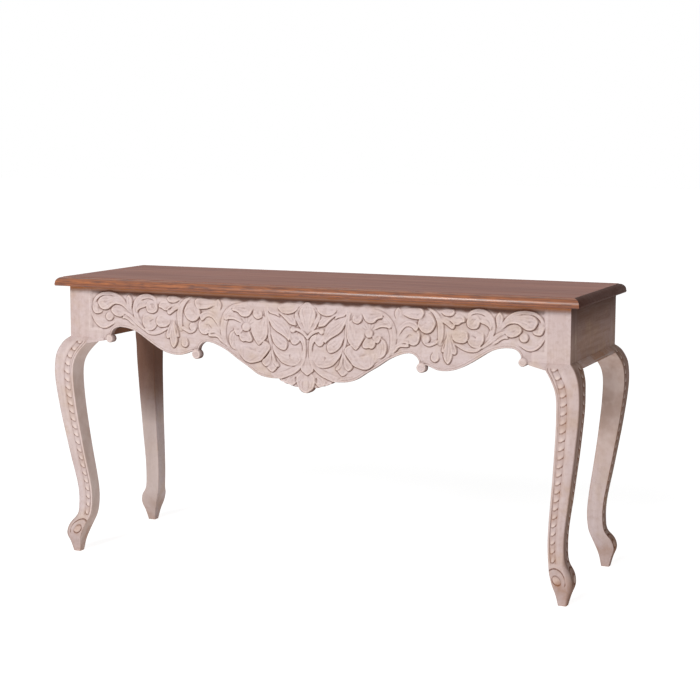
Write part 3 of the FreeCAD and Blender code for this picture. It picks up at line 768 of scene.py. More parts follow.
def carve_flower(sheet):
    """The open flower in the first scroll."""
    sheet.leaf(4.0, 5, [(168, 640), (122, 628), (111, 612), (119, 598), (127, 588), (136, 577), (150, 571),
        (168, 567.5), (184, 573)], [(198, 588), (206, 602), (209, 618), (205, 635), (190, 642)], 0.1)
    sheet.leaf(2.2, 1, [(152, 596), (157, 586), (166, 580), (175, 582)], [(178, 592), (168, 600)], 0.0)
    sheet.band(2.2, [5, 9, 14, 18, 20, 20, 18, 15, 12, 8], [(222, 600), (236, 612), (244, 630), (247, 650),
        (245, 670), (238, 690), (225, 706), (206, 717), (184, 720), (164, 710)], 1.3, 3)
    sheet.leaf(3.0, 4, [(206, 662), (216, 652), (225, 645), (230, 632), (228, 616), (220, 604)],
        [(206, 600), (203, 618), (202, 640)], 0.1)
    sheet.leaf(4.0, 4, [(166, 672), (165, 650), (157, 634), (150, 623), (143, 618), (134, 626), (123, 637),
        (118.5, 652), (119, 672), (125, 692)], [(136, 696), (152, 690)], 0.1, 0.4)
    sheet.leaf(4.0, 3, [(188, 672), (203, 677), (214, 681), (228, 681), (239, 679)],
        [(245, 688), (240, 700), (226, 703), (210, 698), (198, 688)], 0.1)
    sheet.leaf(3.8, 2, [(186, 662), (194, 646), (200, 639.5), (207, 640), (213, 650)],
        [(214, 660), (202, 664)], 0.1)
    sheet.leaf(4.4, 3, [(180, 660), (167, 645), (162, 634), (163, 627), (170, 623.5), (180, 625),
        (188, 623.5), (196, 629), (199, 639)], [(196, 650), (190, 658)], 0.2)
    sheet.leaf(4.0, 2,
        [(142, 714), (134, 704), (134, 694), (139, 689.5), (147, 687), (154, 689.5), (160, 696)],
        [(160, 708), (152, 716)], 0.1)
    sheet.leaf(4.2, 4,
        [(160, 722), (164, 706), (172, 694), (184, 690), (195, 692.5), (204, 701), (218, 706)],
        [(216, 716), (198, 726), (180, 730)], 0.1)
    sheet.ball(4.2, 11.5, (180, 663), 0.8)
    for turn in (50, 75, 100, 125, 150):
        angle = math.radians(turn)
        across, up = 180 + 8 * math.cos(angle), 666 + 8 * math.sin(angle)
        sheet.cut(1.3, 1.6, [(across, up), (across + 18 * math.cos(angle), up + 18 * math.sin(angle))])


def carve_middle_leaves(sheet):
    """The leaves and curls between the first flower and the second scroll."""
    sheet.leaf(4.4, 2, [(240, 610), (255, 621), (263, 630), (270, 632.5), (289, 633.5), (291, 641)],
        [(288, 648), (272, 648), (256, 640), (244, 626)], 0.1)
    sheet.leaf(3.8, 3,
        [(262, 646), (277, 643), (290, 642), (298, 638.5), (308, 639), (316, 645), (320, 655)],
        [(321, 668), (314, 680), (300, 688), (284, 688), (270, 676), (262, 660)], 0.2)
    sheet.cut(1.5, 1.6, [(280, 654), (286, 660), (292, 666), (300, 664)])
    sheet.leaf(3.4, 2, [(256, 652), (264, 664), (270, 673), (280, 684), (290, 687), (299, 684), (305, 678),
        (311, 676), (317, 684)], [(316, 692), (304, 700), (286, 701), (268, 690), (258, 672)], 0.25)
    sheet.leaf(3.0, 2, [(261, 700), (252, 712), (252, 724), (261, 735)], [(270, 724), (270, 712)], 0.2, 0.5)
    sheet.leaf(4.6, 3,
        [(268, 722), (280, 714), (292, 709), (304, 707), (316, 706), (325, 709), (330, 717), (332, 727)],
        [(324, 735), (300, 736), (280, 732)], 0.0, 0.8)
    sheet.ball(3.8, 11, (337, 657))
    sheet.leaf(4.2, 1, [(325, 662), (327, 650), (334, 642), (346, 638), (358, 642), (371, 650)],
        [(366, 656), (355, 650), (345, 648), (336, 652)], 0.1)
    sheet.band(2.2, [6, 10, 14, 17, 17, 14, 8],
        [(342, 736), (358, 727), (370, 711), (376, 695), (377, 678), (376, 660), (370, 642)])
    sheet.cut(1.4, 1.5, [(367, 644), (374, 640.5), (380, 643)])
    sheet.leaf(4.4, 3,
        [(330, 722), (318, 706), (315, 692), (322, 679), (330, 673), (340, 671), (351, 675), (359, 685)],
        [(363, 698), (357, 713), (346, 722)], 0.5)
    sheet.cut(1.0, 2.2, [(330, 708), (326, 696), (332, 685), (344, 682)])


def carve_drop(sheet):
    """The hooked leaves and the long drop between the second and third scrolls."""
    sheet.leaf(4.0, 1, [(362, 628), (352, 616), (352, 604), (361, 598.5), (371, 603)],
        [(373, 612), (370, 622)], 0.3)
    sheet.leaf(3.6, 1, [(394, 668), (385, 648), (380, 634), (380, 625), (388, 628)], [(396, 645)], 0.1)
    sheet.leaf(3.6, 1, [(404, 668), (414, 648), (420, 634), (419, 623), (410, 622)], [(402, 645)], 0.1)
    sheet.leaf(4.4, 3, [(396, 680), (390, 650), (384.5, 622), (386, 609), (391, 600), (397, 595)],
        [(404, 602), (408, 614), (410, 630), (404, 655)], 0.5)
    for across in (390, 399, 408):
        sheet.cut(0.6, 1.8, [(0.6 * across + 159, 684), (across, 655), (across, 640)])
    sheet.leaf(4.0, 2, [(374, 716), (381, 703), (391, 696.5), (400, 690), (409, 685.5), (415, 692)],
        [(414, 704), (402, 714), (386, 722)], 0.2)
    sheet.leaf(4.2, 2, [(396, 714), (412, 699), (418, 696.5), (425, 697.5), (433, 703), (442, 706)],
        [(440, 716), (430, 724), (410, 724)], 0.2)
    sheet.leaf(4.4, 2, [(374, 732), (382, 723), (391, 718.5), (403, 718.5), (411, 722), (415, 729)],
        [(410, 736), (392, 737)], 0.0, 0.8)


def carve_third_scroll(sheet):
    """The scroll of leaves between the drop and the ear scroll."""
    sheet.leaf(3.4, 1,
        [(408, 656), (414, 647), (425, 640), (440, 632.5), (457, 629), (474, 631), (487, 641)],
        [(482, 646), (470, 641), (454, 640), (438, 645), (424, 652)], 0.2)
    sheet.leaf(2.8, 3, [(452, 676), (448, 660), (454, 648), (466, 641), (480, 643), (490, 654), (493, 668)],
        [(490, 680), (478, 688), (462, 687)], 0.2)
    sheet.cut(1.6, 1.7, [(459, 672), (465, 669), (471, 665)])
    sheet.leaf(3.8, 3, [(408, 676), (408, 662), (416, 654), (428, 651), (441, 652), (449, 659), (451, 669)],
        [(446, 680), (430, 686), (414, 684)], 0.2)
    sheet.band(2.0, [7, 11, 14, 15, 15, 15, 14, 8],
        [(450, 712), (456, 728), (474, 735), (495, 731), (510, 717), (515, 697), (511, 677), (498, 656)])
    sheet.leaf(3.4, 2, [(478, 716), (482, 706), (489, 703), (497, 700), (504, 695), (509, 687)],
        [(514, 700), (510, 714), (496, 722)], 0.3)
    sheet.leaf(4.0, 3,
        [(456, 722), (447, 710), (447, 698), (453, 691), (463, 688), (475, 691), (480.5, 700)],
        [(481, 712), (474, 722)], 0.3)
    sheet.cut(1.0, 1.4, [(456, 706), (461, 713), (470, 712), (474, 704), (468, 697)])
    sheet.leaf(3.6, 2, [(530, 690), (524, 708), (524, 724), (533, 735)], [(542, 724), (541, 708)], 0.5)


def carve_ear_scroll(sheet):
    """The last scroll, beside the post."""
    sheet.band(2.4, [4, 8, 11, 12, 10, 6],
        [(478, 636), (500, 652), (515, 664), (530, 676), (541, 682), (552, 684)], 1.1, 2)
    sheet.leaf(3.4, 2, [(510, 650), (527, 656), (537, 663.5), (547, 668), (556, 668.5)],
        [(552, 677), (538, 680), (521, 668)], 0.1)
    sheet.band(2.4, [4, 7, 10, 11, 11, 10, 9, 8],
        [(534, 688), (546, 710), (562, 726), (584, 735), (605, 737), (625, 733), (641, 720), (648, 700)],
        1.0)
    sheet.leaf(4.0, 1, [(576, 668), (582, 655), (592, 648), (605, 641), (618, 640), (632, 646), (643, 657),
        (651, 672), (654, 690)], [(648, 700), (644, 686), (636, 672), (622, 662), (606, 660), (592, 666)],
        0.0, 0.2)
    sheet.leaf(4.2, 3,
        [(540, 688), (548, 680), (555, 674.5), (563, 672), (574, 674), (582, 678), (591, 687)],
        [(590, 697), (580, 705), (564, 706), (550, 699)], 0.1)
    sheet.ball(4.4, 12, (597, 673), 0.9)
    sheet.leaf(4.4, 1, [(618, 694), (622, 684), (630, 680.5), (641, 681), (648, 690)],
        [(650, 704), (636, 712), (624, 704)], 0.1)
    sheet.leaf(4.8, 4, [(528, 686), (540, 692), (549, 699), (558, 705), (570, 707.5), (582, 706),
        (592, 699), (602, 693), (613, 691.5), (623, 695), (629, 703)],
        [(633, 714), (626, 725), (610, 731), (590, 730), (566, 724), (545, 708)], 0.3)


# Front apron

def turns(corners, mesh):
    """The sides of a polygon, as pairs of places across and up."""
    places = [tuple(round(mesh.vertices[v].co[k], 6) for k in (0, 2)) for v in corners]
    return list(zip(places, places[1:] + places[:1]))


def front_outline(node):
    """The outline of a CAD node's flat front, in millimetres across and up."""
    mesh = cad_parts[node].data
    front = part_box(node)[0].y
    sides = {}
    for polygon in mesh.polygons:
        if all(abs(mesh.vertices[v].co.y - front) < flat_margin for v in polygon.vertices):
            for start, end in turns(polygon.vertices, mesh):
                if (end, start) in sides:
                    del sides[(end, start)]
                else:
                    sides[(start, end)] = True
    after = dict(sides.keys())
    loop = [next(iter(after))]
    while after[loop[-1]] != loop[0]:
        loop.append(after[loop[-1]])
    return np.array(loop) / MM


def edge_distance(points, outline, reach):
    """Distance to a closed outline, as far as reach."""
    line = np.vstack([outline, outline[:1]])
    sheet = Carving(points, np.full(len(points), float(reach)), 0.0)
    for first in range(0, len(line) - 1, outline_piece):
        part = line[first:first + outline_piece + 1]
        spots = sheet.near(part, reach)
        if len(spots):
            away, _ = distance_to(points[spots], part)
            sheet.height[spots] = np.minimum(sheet.height[spots], away)
    return sheet.height


def nearest_on(points, line):
    """The nearest place on an open line to each point."""
    start, step = line[:-1], np.diff(line, axis=0)
    along = within(((points[:, None] - start) * step).sum(2) / ((step ** 2).sum(1) + TINY))
    places = start + along[..., None] * step
    nearest = ((points[:, None] - places) ** 2).sum(2).argmin(1)
    return places[np.arange(len(points)), nearest]


def drawing_place(x, z):
    """Where in the drawing of the right half a point of the apron falls."""
    t = x - axis_shift
    drift = axis_drift * (1 - np.exp(-(t / axis_reach) ** 2))
    sway = hand_wobble * np.sin(sway_rates[0] * x + sway_rates[1] * z)
    u = np.where(t >= 0, x, axis_shift - t - drift + sway)
    return np.column_stack([u, z + np.where(t >= 0, 0, hand_wobble * np.sin(lift_rate * x))])


def apron_heights(x, z, outline):
    """The carved height at each point of the front apron, and its distance to the lower edge."""
    out = np.abs(x)
    rim = edge_distance(np.column_stack([x, z]), outline, rim_reach)
    rim = np.where((z > bead_top) | (out > bracket_start), rim_reach, rim)
    border = smooth_step(z, border_low, border_high) * (1 - smooth_step(out, *border_ends))
    height = field_height + (border_height - field_height) * border
    below_shell = 1 - smooth_step(z - np.interp(out, shell_across, shell_tops), *shell_fade)
    height += (shell_height - field_height) * below_shell * (out < shell_end)
    carve_shell(Carving(np.column_stack([out, z]), height, shell_height))
    right = Carving(drawing_place(x, z), height, field_height)
    for carve in (carve_heart, carve_inner_leaves, carve_tulip, carve_flower, carve_middle_leaves, carve_drop,
                  carve_third_scroll, carve_ear_scroll):
        carve(right)
    ear = smooth_step(out, *ear_starts) * (1 - smooth_step(z, *ear_tops))
    height = height * (1 - ear) + ear_height * ear
    post = smooth_step(out, *post_starts)
    return height * (1 - post) + post_height * post, rim


def edge_bead(height, rim, x):
    """The bead along the scalloped edge, set off by two grooves, and the soft front arris."""
    along = smooth_step(np.abs(x), *bead_starts) * (1 - smooth_step(np.abs(x), *bead_ends))
    groove = bead_groove * np.exp(-((rim - bead_width) / bead_groove_width) ** 2)
    second = second_groove * np.exp(-((rim - second_groove_place) / second_groove_width) ** 2)
    middle = 0.5 * bead_width
    crown = bead_crown * within(1 - ((rim - middle) / middle) ** 2)
    soft = within(rim / edge_round)
    return height + along * (crown - groove - second) - edge_round * (1 - np.sqrt(1 - (1 - soft) ** 2))


def carve_knobs(grid_x, grid_z, height):
    """The little scrolls where the scallops meet: the edge bead curled into a boss."""
    for across, up, radius in knobs:
        for side in (-1, 1):
            away_x, away_z = side * grid_x - across, grid_z - up
            away = np.hypot(away_x, away_z)
            turn = np.arctan2(away_z, away_x) / (2 * math.pi)
            disc = within((radius + knob_margin - away) / knob_fade)
            dome = knob_height + knob_rise * np.sqrt(within(1 - (away / (radius + knob_fade)) ** 2))
            phase = away / (curl_pitch_share * radius) - turn - curl_start
            curl = curl_depth * np.exp(-((phase - np.round(phase)) / curl_width) ** 2)
            curl = curl * (away > curl_shares[0] * radius) * (away < curl_shares[1] * radius)
            height[:] = height * (1 - disc) + (dome - curl) * disc


def apron_grid(outline):
    """The points of a fine sheet over an outline, its cells, and how many of these each point touches."""
    half, foot = np.abs(outline[:, 0]).max(), outline[:, 1].min()
    columns, rows = (int(round(length / carving_step)) for length in (2 * half, drawing_top - foot))
    xs = np.linspace(-half, half, columns + 1)
    zs = np.linspace(foot, drawing_top, rows + 1)
    middles = np.array([(x, z) for z in (zs[1:] + zs[:-1]) / 2 for x in (xs[1:] + xs[:-1]) / 2])
    kept = np.concatenate([inside(part, outline) for part in np.array_split(middles, outline_batches)])
    kept = kept.reshape(rows, columns)
    around = np.zeros((rows + 1, columns + 1), int)
    for up in (0, 1):
        for across in (0, 1):
            around[up:rows + up, across:columns + across] += kept
    grid_x, grid_z = (g.copy() for g in np.meshgrid(xs, zs))

    # Points of the sheet on its border are drawn onto the outline
    border = (around > 0) & (around < 4)
    line = np.vstack([outline, outline[:1]])
    places = np.column_stack([grid_x[border], grid_z[border]])
    drawn = np.vstack([nearest_on(part, line) for part in np.array_split(places, border_batches)])
    grid_x[border], grid_z[border] = drawn[:, 0], drawn[:, 1]
    return grid_x, grid_z, kept, around


def tint(relief, strength, threshold, most):
    """How strong a tint is that grows with relief over a threshold."""
    return np.clip(strength * (relief - threshold), 0, most)


def apron_finish(x, z, height):
    """Where the apron's wash is brown in recesses, partly stain and partly painted shade weighted to the lower edges
    of forms; brown as painted shade in hollows and under the top; rubbed through; and chalky on crests as a painted
    highlight.
    """
    close, wide = blurred(height, 1, 1), blurred(height, 3)
    # Painted shade: the recess brown is weighted to the lower edges of forms, where shadow falls
    overhung = smooth_step(np.gradient(close, axis=0), *overhang_slopes)
    # A wavy band of painted shade under the top's overhang, over the sunk border
    wavy = z
    for rise, rate, start in border_waves:
        wavy = wavy + rise * np.sin(rate * x + start)
    border = smooth_step(wavy, *border_shade) * within((border_shade_height - height) / border_shade_depth)
    border = border * (1 - smooth_step(z, *border_shade_top))
    border = border * (1 - 0.6 * smooth_step(np.abs(x), *border_shade_ends))
    # Painted shade in the hollows beside the forms
    hollow = tint(blurred(height, 6) - height, *hollow_tint)
    shade_stain = tint(wide - height, *shade_stain_tint) * (0.4 + 0.6 * overhung) + hollow
    shade_stain = within(np.maximum(shade_stain, border_shade_share * border))
    wear_and_shade = tint(height - close, *wear_tint)
    # Painted highlight on crests, left off under the top
    painted_highlight = tint(height - wide, *highlight_tint) * (1 - smooth_step(z, *highlight_top))
    return {"shade_stain": shade_stain, "wear_and_shade": wear_and_shade, "painted_highlight": painted_highlight}


def open_sides(faces):
    """Directed sides that only one face has."""
    sides = {(a, b) for face in faces for a, b in zip(face, face[1:] + face[:1])}
    return [side for side in sides if (side[1], side[0]) not in sides]


def filled(points, sides):
    """Triangles that fill a flat back between its border sides."""
    sheet = bmesh.new()
    made = {v: sheet.verts.new(points[v]) for v in sorted({v for side in sides for v in side})}
    number = {vertex: v for v, vertex in made.items()}
    edges = [sheet.edges.new((made[a], made[b])) for a, b in sides]
    found = bmesh.ops.triangle_fill(sheet, use_beauty=False, edges=edges, normal=(0, 1, 0))
    faces = []
    for triangle in found["geom"]:
        if isinstance(triangle, bmesh.types.BMFace):
            triangle.normal_update()
            face = [number[vertex] for vertex in triangle.verts]
            faces.append(face if triangle.normal.y > 0 else face[::-1])
    sheet.free()
    return faces


def carved_apron():
    """The front apron: a fine sheet of carved heights with a plain edge and back."""
    outline = front_outline("front_apron")
    front, back = (corner.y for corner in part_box("front_apron"))
    grid_x, grid_z, kept, around = apron_grid(outline)
    height, rim = apron_heights(grid_x.ravel(), grid_z.ravel(), outline)
    height = edge_bead(height, rim, grid_x.ravel()).reshape(grid_x.shape)
    carve_knobs(grid_x, grid_z, height)
    height = 0.4 * height + 0.6 * blurred(height, 1, 1)

    used = np.flatnonzero(around)
    number = np.full(around.size, -1)
    number[used] = np.arange(len(used))
    number = number.reshape(around.shape)
    x, out, z = (grid.ravel()[used] * MM for grid in (grid_x, height, grid_z))
    points = np.column_stack([x, front - out, z])
    row, column = np.nonzero(kept)
    cells = [number[row, column], number[row, column + 1], number[row + 1, column + 1], number[row + 1, column]]
    faces = np.column_stack(cells).tolist()

    # The edge and the back, from the border of the sheet
    border = open_sides(faces)
    rim_points = sorted({v for side in border for v in side})
    shadow = {v: len(points) + k for k, v in enumerate(rim_points)}
    rear = points[rim_points]
    rear[:, 1] = back
    points = np.vstack([points, rear])
    faces += [[b, a, shadow[a], shadow[b]] for a, b in border]
    faces += filled(points, [(shadow[a], shadow[b]) for a, b in border])
    values = {label: np.concatenate([grid.ravel()[used], np.full(len(rear), rear_tints[label])])
              for label, grid in apron_finish(grid_x, grid_z, height).items()}
    mesh = mesh_of("carved_apron", points, faces, apron_sharp, values)
    shown("carved_apron", mesh, carved_paint, ["front_apron"])


# Legs

def leg_profile(node, heights):
    """The least and greatest distance from the middle, across and deep, of a leg's section at each height."""
    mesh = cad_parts[node].data
    points = np.abs(np.array([v.co for v in mesh.vertices])) / MM
    sides = np.array([e.vertices for e in mesh.edges])
    low, high = points[sides[:, 0]], points[sides[:, 1]]
    profile = []
    for height in heights:
        level = np.clip(height, section_margin, leg_top - section_margin)
        crossing = (low[:, 2] - level) * (high[:, 2] - level) <= 0
        a, b = low[crossing], high[crossing]
        share = (level - a[:, 2]) / (b[:, 2] - a[:, 2] + TINY)
        cut = a + within(share)[:, None] * (b - a)
        profile.append([cut[:, 0].min(), cut[:, 0].max(), cut[:, 1].min(), cut[:, 1].max()])
    return np.array(profile)


def smoothed(profile, heights):
    """A leg's profile averaged over its neighbouring rows, but for its post and the sole of its foot."""
    keep = within(smooth_step(heights, *post_foot) + (1 - smooth_step(heights, *sole_fade)))
    soft = [np.convolve(np.pad(column, 2, mode="edge"), np.ones(5) / 5, mode="valid") for column in profile.T]
    return profile * keep[:, None] + np.array(soft).T * (1 - keep)[:, None]


def link_height(away, run, half):
    """Height of the chain: links that overlap like shingles, each raised towards its slanting lower end."""
    phase = run / chain_pitch
    side = np.sqrt(within(1 - (away / half) ** 2))
    end = link_length - link_slant * (0.5 + 0.5 * np.clip(away / half, -1, 1)) ** 2 - link_bow * (1 - side)
    top = np.zeros_like(away)
    for shift in (0, 1):
        place = phase - np.floor(phase) + shift
        rise = link_rise * (0.2 + 0.8 * within(place) ** 1.3) * (0.25 + 0.75 * side)
        top = np.maximum(top, rise * within((end - place) / link_end_wall + 0.5))
    return top


def volute(across, up):
    """Carved height of the scroll on the foot: a raised eye in a dished disc, with creases that open upwards."""
    away = np.hypot(across, up) + TINY
    under = smooth_step((-0.5 * across - 0.8 * up) / away, -0.4, 0.8)
    eye = volute_rise * np.sqrt(within(1 - (away / volute_eye) ** 2))
    ring = volute_groove * (0.05 + 0.95 * under) * np.exp(-((away - volute_ring) / volute_groove_width) ** 2)
    outer = volute_reach * (0.92 + 0.14 * up / away)
    crease = volute_crease * np.exp(-((away - outer) / volute_groove_width) ** 2)
    return eye - ring - crease * smooth_step(up + 0.5 * across, -10, 8)


def leg_relief(inset, width, height, run):
    """Carved height of a leg's outer face: inset is measured from its inner edge, run down the leg."""
    half = np.interp(height, [chain_foot, chain_knee], [chain_narrow, chain_wide])
    away = inset - chain_share * width
    span = smooth_step(height, *chain_foot_fade) * (1 - smooth_step(height, *chain_top_fade))
    chain = within((half - np.abs(away)) / link_wall + 0.5) * (link_height(away, run, half) - link_bed)
    beside = chain_groove * np.exp(-((np.abs(away) - half - chain_groove_gap) / chain_groove_width) ** 2)
    border = border_depth * np.exp(-((away - half - border_gap) / border_width) ** 2)
    leg = smooth_step(height, *rim_foot) * (1 - smooth_step(height, *rim_top))
    rim = min(rim_place, chain_share * width - half - rim_gap)
    groove = rim_groove * np.exp(-((inset - rim) / rim_width) ** 2) * leg
    return span * (chain - beside - border) - groove + volute(inset - volute_inset, height - volute_height)


def cabriole_leg(side, end, node):
    """One leg, carved on its two outer faces and plain on its inner ones."""
    heights = np.concatenate([np.arange(0.0, leg_rows_end, leg_row_step), post_rows])
    profile = smoothed(leg_profile(node, heights), heights)
    outer_round = np.interp(heights, corner_heights, corner_radii)
    inner_round = np.interp(heights, inner_heights, inner_radii)
    centre = profile[:, 0] + chain_share * (profile[:, 1] - profile[:, 0])
    run = np.concatenate([[0], np.cumsum(np.hypot(np.diff(heights), np.diff(centre)))])
    run = run[-1] - run
    face = np.linspace(0, 1, leg_face_points)
    fade = within(face * leg_fade)
    arc = np.linspace(0, math.pi / 2, 9)[1:-1]
    flat = np.full(len(inner_shares), 1.0)
    rows, reliefs = [], []
    for height, (in_x, out_x, in_y, out_y), r, s, down in zip(heights, profile, outer_round, inner_round, run):
        front_x = in_x + s + face * (out_x - r - in_x - s)
        side_y = out_y - r + face * (in_y + s - out_y + r)
        front_relief = leg_relief(front_x - in_x, out_x - in_x, height, down) * fade[::-1]
        side_relief = leg_relief(side_y - in_y, out_y - in_y, height, down) * fade
        inner_x = out_x - s + inner_shares * (in_x + 2 * s - out_x)
        inner_y = in_y + s + inner_shares * (out_y - 2 * s - in_y)
        rows.append(np.vstack([
            np.column_stack([front_x, out_y + front_relief]),
            np.column_stack([out_x - r + r * np.sin(arc), out_y - r + r * np.cos(arc)]),
            np.column_stack([out_x + side_relief, side_y]),
            [[out_x - 0.3 * s, in_y + 0.3 * s]],
            np.column_stack([inner_x, in_y * flat]),
            [[in_x + 0.3 * s, in_y + 0.3 * s]],
            np.column_stack([in_x * flat, inner_y]),
            [[in_x + 0.3 * s, out_y - 0.3 * s]]]))
        reliefs.append(np.concatenate([front_relief, 0 * arc, side_relief, np.zeros(2 * len(flat) + 3)]))
    grid, relief = np.array(rows), np.array(reliefs)
    values = leg_finish(heights, grid.shape[1], len(arc), node)
    # Brown in the chain's grooves, partly stain and partly painted shade, and painted highlights on its raised tops
    values["shade_stain"] = within(tint(blurred(relief, 2) - relief, *leg_shade_stain_tint) + values["shade_stain"])
    values["wear_and_shade"] = within(values["wear_and_shade"] + leg_wear_share * within(blurred(np.abs(relief), 3)))
    values["painted_highlight"] = within(values["painted_highlight"] + leg_highlight_share * within(relief - blurred(relief, 6)))
    count = grid.shape[1]
    places = [side * grid[..., 0].ravel(), end * grid[..., 1].ravel(), np.repeat(heights, count)]
    faces = skin(len(heights), count, side * end > 0)
    mesh = mesh_of("carved_" + node, np.column_stack(places) * MM, faces, leg_sharp, values)
    shown("carved_" + node, mesh, leg_paint, [node])


def leg_finish(heights, count, bend, node):
    """Where a leg's wash is rubbed or brown, and where it carries painted shade and painted highlights, which differ
    from leg to leg on the inner faces.
    """
    wash_shade, wear_and_shade, shade_stain, painted_highlight = (np.zeros((len(heights), count)) for _ in range(4))
    flank = leg_face_points + bend
    inner = flank + leg_face_points
    shadow_heights = right_shadow_heights if node.endswith("right_leg") else left_shadow_heights
    up = np.interp(heights, shadow_heights, shadow_shares)[:, None]
    low = (1 - smooth_step(heights, *knee_fade))[:, None]
    # Painted shade: the outer side faces take the darker wash and some brown below the knee
    wash_shade[:, leg_face_points:flank] = np.linspace(0.2, 1, bend)
    wash_shade[:, flank:inner] = 1.0
    shade_stain[:, flank:inner] += 0.28 * low
    # Painted light and shade on the inner faces: the back right leg's shadowed upper part is warmed and lightened,
    # the back left leg's is darkened and its lower part lightened, and the front left leg's are warmed and lightened
    if node == "back_right_leg":
        wear_and_shade[:, inner:] += 0.45 * up * low
        painted_highlight[:, inner:] += 0.85 * up * low
        shade_stain[:, inner:] += 0.04 * up * low
    elif node == "back_left_leg":
        wash_shade[:, inner:] = up
        shade_stain[:, inner:] += 0.85 * up * low
        painted_highlight[:, inner + 1:inner + 8] += 0.45 * (1 - up)
    elif node == "front_left_leg":
        wear_and_shade[:, inner:] += 0.30 * low
        painted_highlight[:, inner:] += 0.85 * low
        wear_and_shade[:, :flank] += 0.18 * (1 - low)
    else:
        wear_and_shade[:, :flank] += 0.18
    worn = (smooth_step(heights, *worn_foot) * (1 - smooth_step(heights, *worn_knee)))[:, None]
    wear_and_shade[:, flank - 1:flank + 2] = 0.35 * worn
    rubbed = 0.15 if node == "back_left_leg" else 0.6
    wear_and_shade[:, inner - 4:inner + 1] = rubbed * worn
    wear_and_shade[:, inner + 7:inner + 10] = rubbed * worn
    foot = (1 - smooth_step(heights, *foot_fade))[:, None]
    shade_stain += 0.12 * foot
    wear_and_shade += 0.35 * foot
    return {"wash_shade": wash_shade, "wear_and_shade": within(wear_and_shade), "shade_stain": shade_stain, "painted_highlight": painted_highlight}


# Plain pieces

def eased(node, ease, material, wear_and_shade=0.0, wash_shade=0.0, shaded=None):
    """A copy of a CAD node with its arrises eased, and painted dark as shade on the face towards the middle of the
    table.
    """
    shape = bmesh.new()
    shape.from_mesh(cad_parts[node].data)
    bmesh.ops.remove_doubles(shape, verts=shape.verts, dist=merge_margin)
    bmesh.ops.dissolve_limit(shape, angle_limit=math.radians(flat_angle), verts=shape.verts, edges=shape.edges)
    sharp = [e for e in shape.edges if e.is_manifold and e.calc_face_angle(0) > math.radians(arris_angle)]
    made = bmesh.ops.bevel(shape, geom=sharp, offset=ease * MM, segments=2, profile=0.5, affect="EDGES",
                           clamp_overlap=True)
    worn, wash_shade_layer, shade_stain = (shape.verts.layers.float.new(label) for label in ("wear_and_shade", "wash_shade", "shade_stain"))
    middle = (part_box(node)[0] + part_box(node)[1]) / 2
    for vertex in shape.verts:
        vertex[wash_shade_layer] = wash_shade
        # Painted shade on the face towards the middle of the table
        vertex[shade_stain] = 1.0 if shaded is not None and abs(vertex.co[shaded]) < abs(middle[shaded]) else 0.0
    for face in made["faces"]:
        for vertex in face.verts:
            vertex[worn] = wear_and_shade
    mesh = bpy.data.meshes.new("eased_" + node)
    shape.to_mesh(mesh)
    shape.free()
    shown("eased_" + node, smooth_but(mesh, plain_sharp), material, [node])


def top_outline(inset):
    """The rectangle of the top, drawn in by inset, with small round corners."""
    low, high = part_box("top_board_1")[0] / MM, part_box("top_board_4")[1] / MM
    radius = max(top_corner - inset, top_corner_least)
    places = []
    for x, y, start in ((high.x, high.y, 0), (low.x, high.y, 90), (low.x, low.y, 180), (high.x, low.y, 270)):
        middle_x = x - math.copysign(inset + radius, x)
        middle_y = y - math.copysign(inset + radius, y)
        for step in (0, 30, 60, 90):
            angle = math.radians(start + step)
            places.append((middle_x + radius * math.cos(angle), middle_y + radius * math.sin(angle)))
    return np.array(places)


def top_profile():
    """The moulded edge, from the middle of the top to the underside: inset and depth in millimetres."""
    profile = [(ovolo_inset + across, down) for across, down in ovolo_lip]
    low = ovolo_quirk + ovolo_radius
    for angle in np.linspace(90, 0, 19):
        turn = math.radians(angle)
        profile.append((ovolo_inset - ovolo_radius * math.cos(turn), low - ovolo_radius * math.sin(turn)))
    edge = ovolo_inset - ovolo_radius
    profile += [(share * edge, low + down) for share, down in ovolo_foot]
    thick = (top_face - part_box("top_board_1")[0].z) / MM
    start = profile[-1][1]
    under = thick - start
    for share in np.linspace(0.125, 1, 8):
        turn = share * math.pi / 2
        profile.append((under_round * under * (1 - math.cos(turn)), start + under * math.sin(turn)))
    return profile + [(ovolo_inset, thick)]


def cut_board(board, plane, direction):
    """Cut a slab at a plane, close it and ease its upper arris."""
    everything = board.verts[:] + board.edges[:] + board.faces[:]
    made = bmesh.ops.bisect_plane(board, geom=everything, plane_co=(0, plane, 0), plane_no=(0, direction, 0),
                                  clear_outer=True, dist=cut_margin)
    rim = [g for g in made["geom_cut"] if isinstance(g, bmesh.types.BMEdge)]
    bmesh.ops.edgeloop_fill(board, edges=rim)
    upper = [e for e in rim if e.is_valid and all(v.co.z > top_face - flat_margin for v in e.verts)]
    bmesh.ops.bevel(board, geom=upper, offset=seam_ease * MM, segments=1, affect="EDGES")


def mark_edge(board):
    """Where the moulding is rubbed, and where it is painted dark as shade: on the shelf under the ovolo, along the
    underside and on the end faces.
    """
    wear_and_shade, shade_stain = (board.verts.layers.float.new(label) for label in ("wear_and_shade", "shade_stain"))
    board.normal_update()
    for vertex in board.verts:
        down = (top_face - vertex.co.z) / MM
        turned = any(f.normal.x > 2 * abs(f.normal.y) and f.normal.x > 0.05 for f in vertex.link_faces)
        at_end = turned and down > edge_shade_depth
        vertex[wear_and_shade] = 0.0 if at_end else np.interp(down, edge_depths, edge_rubbed_shares)
        vertex[shade_stain] = max(edge_shade_share if at_end else 0.0, np.interp(down, edge_depths, edge_shelf_shade_shares))


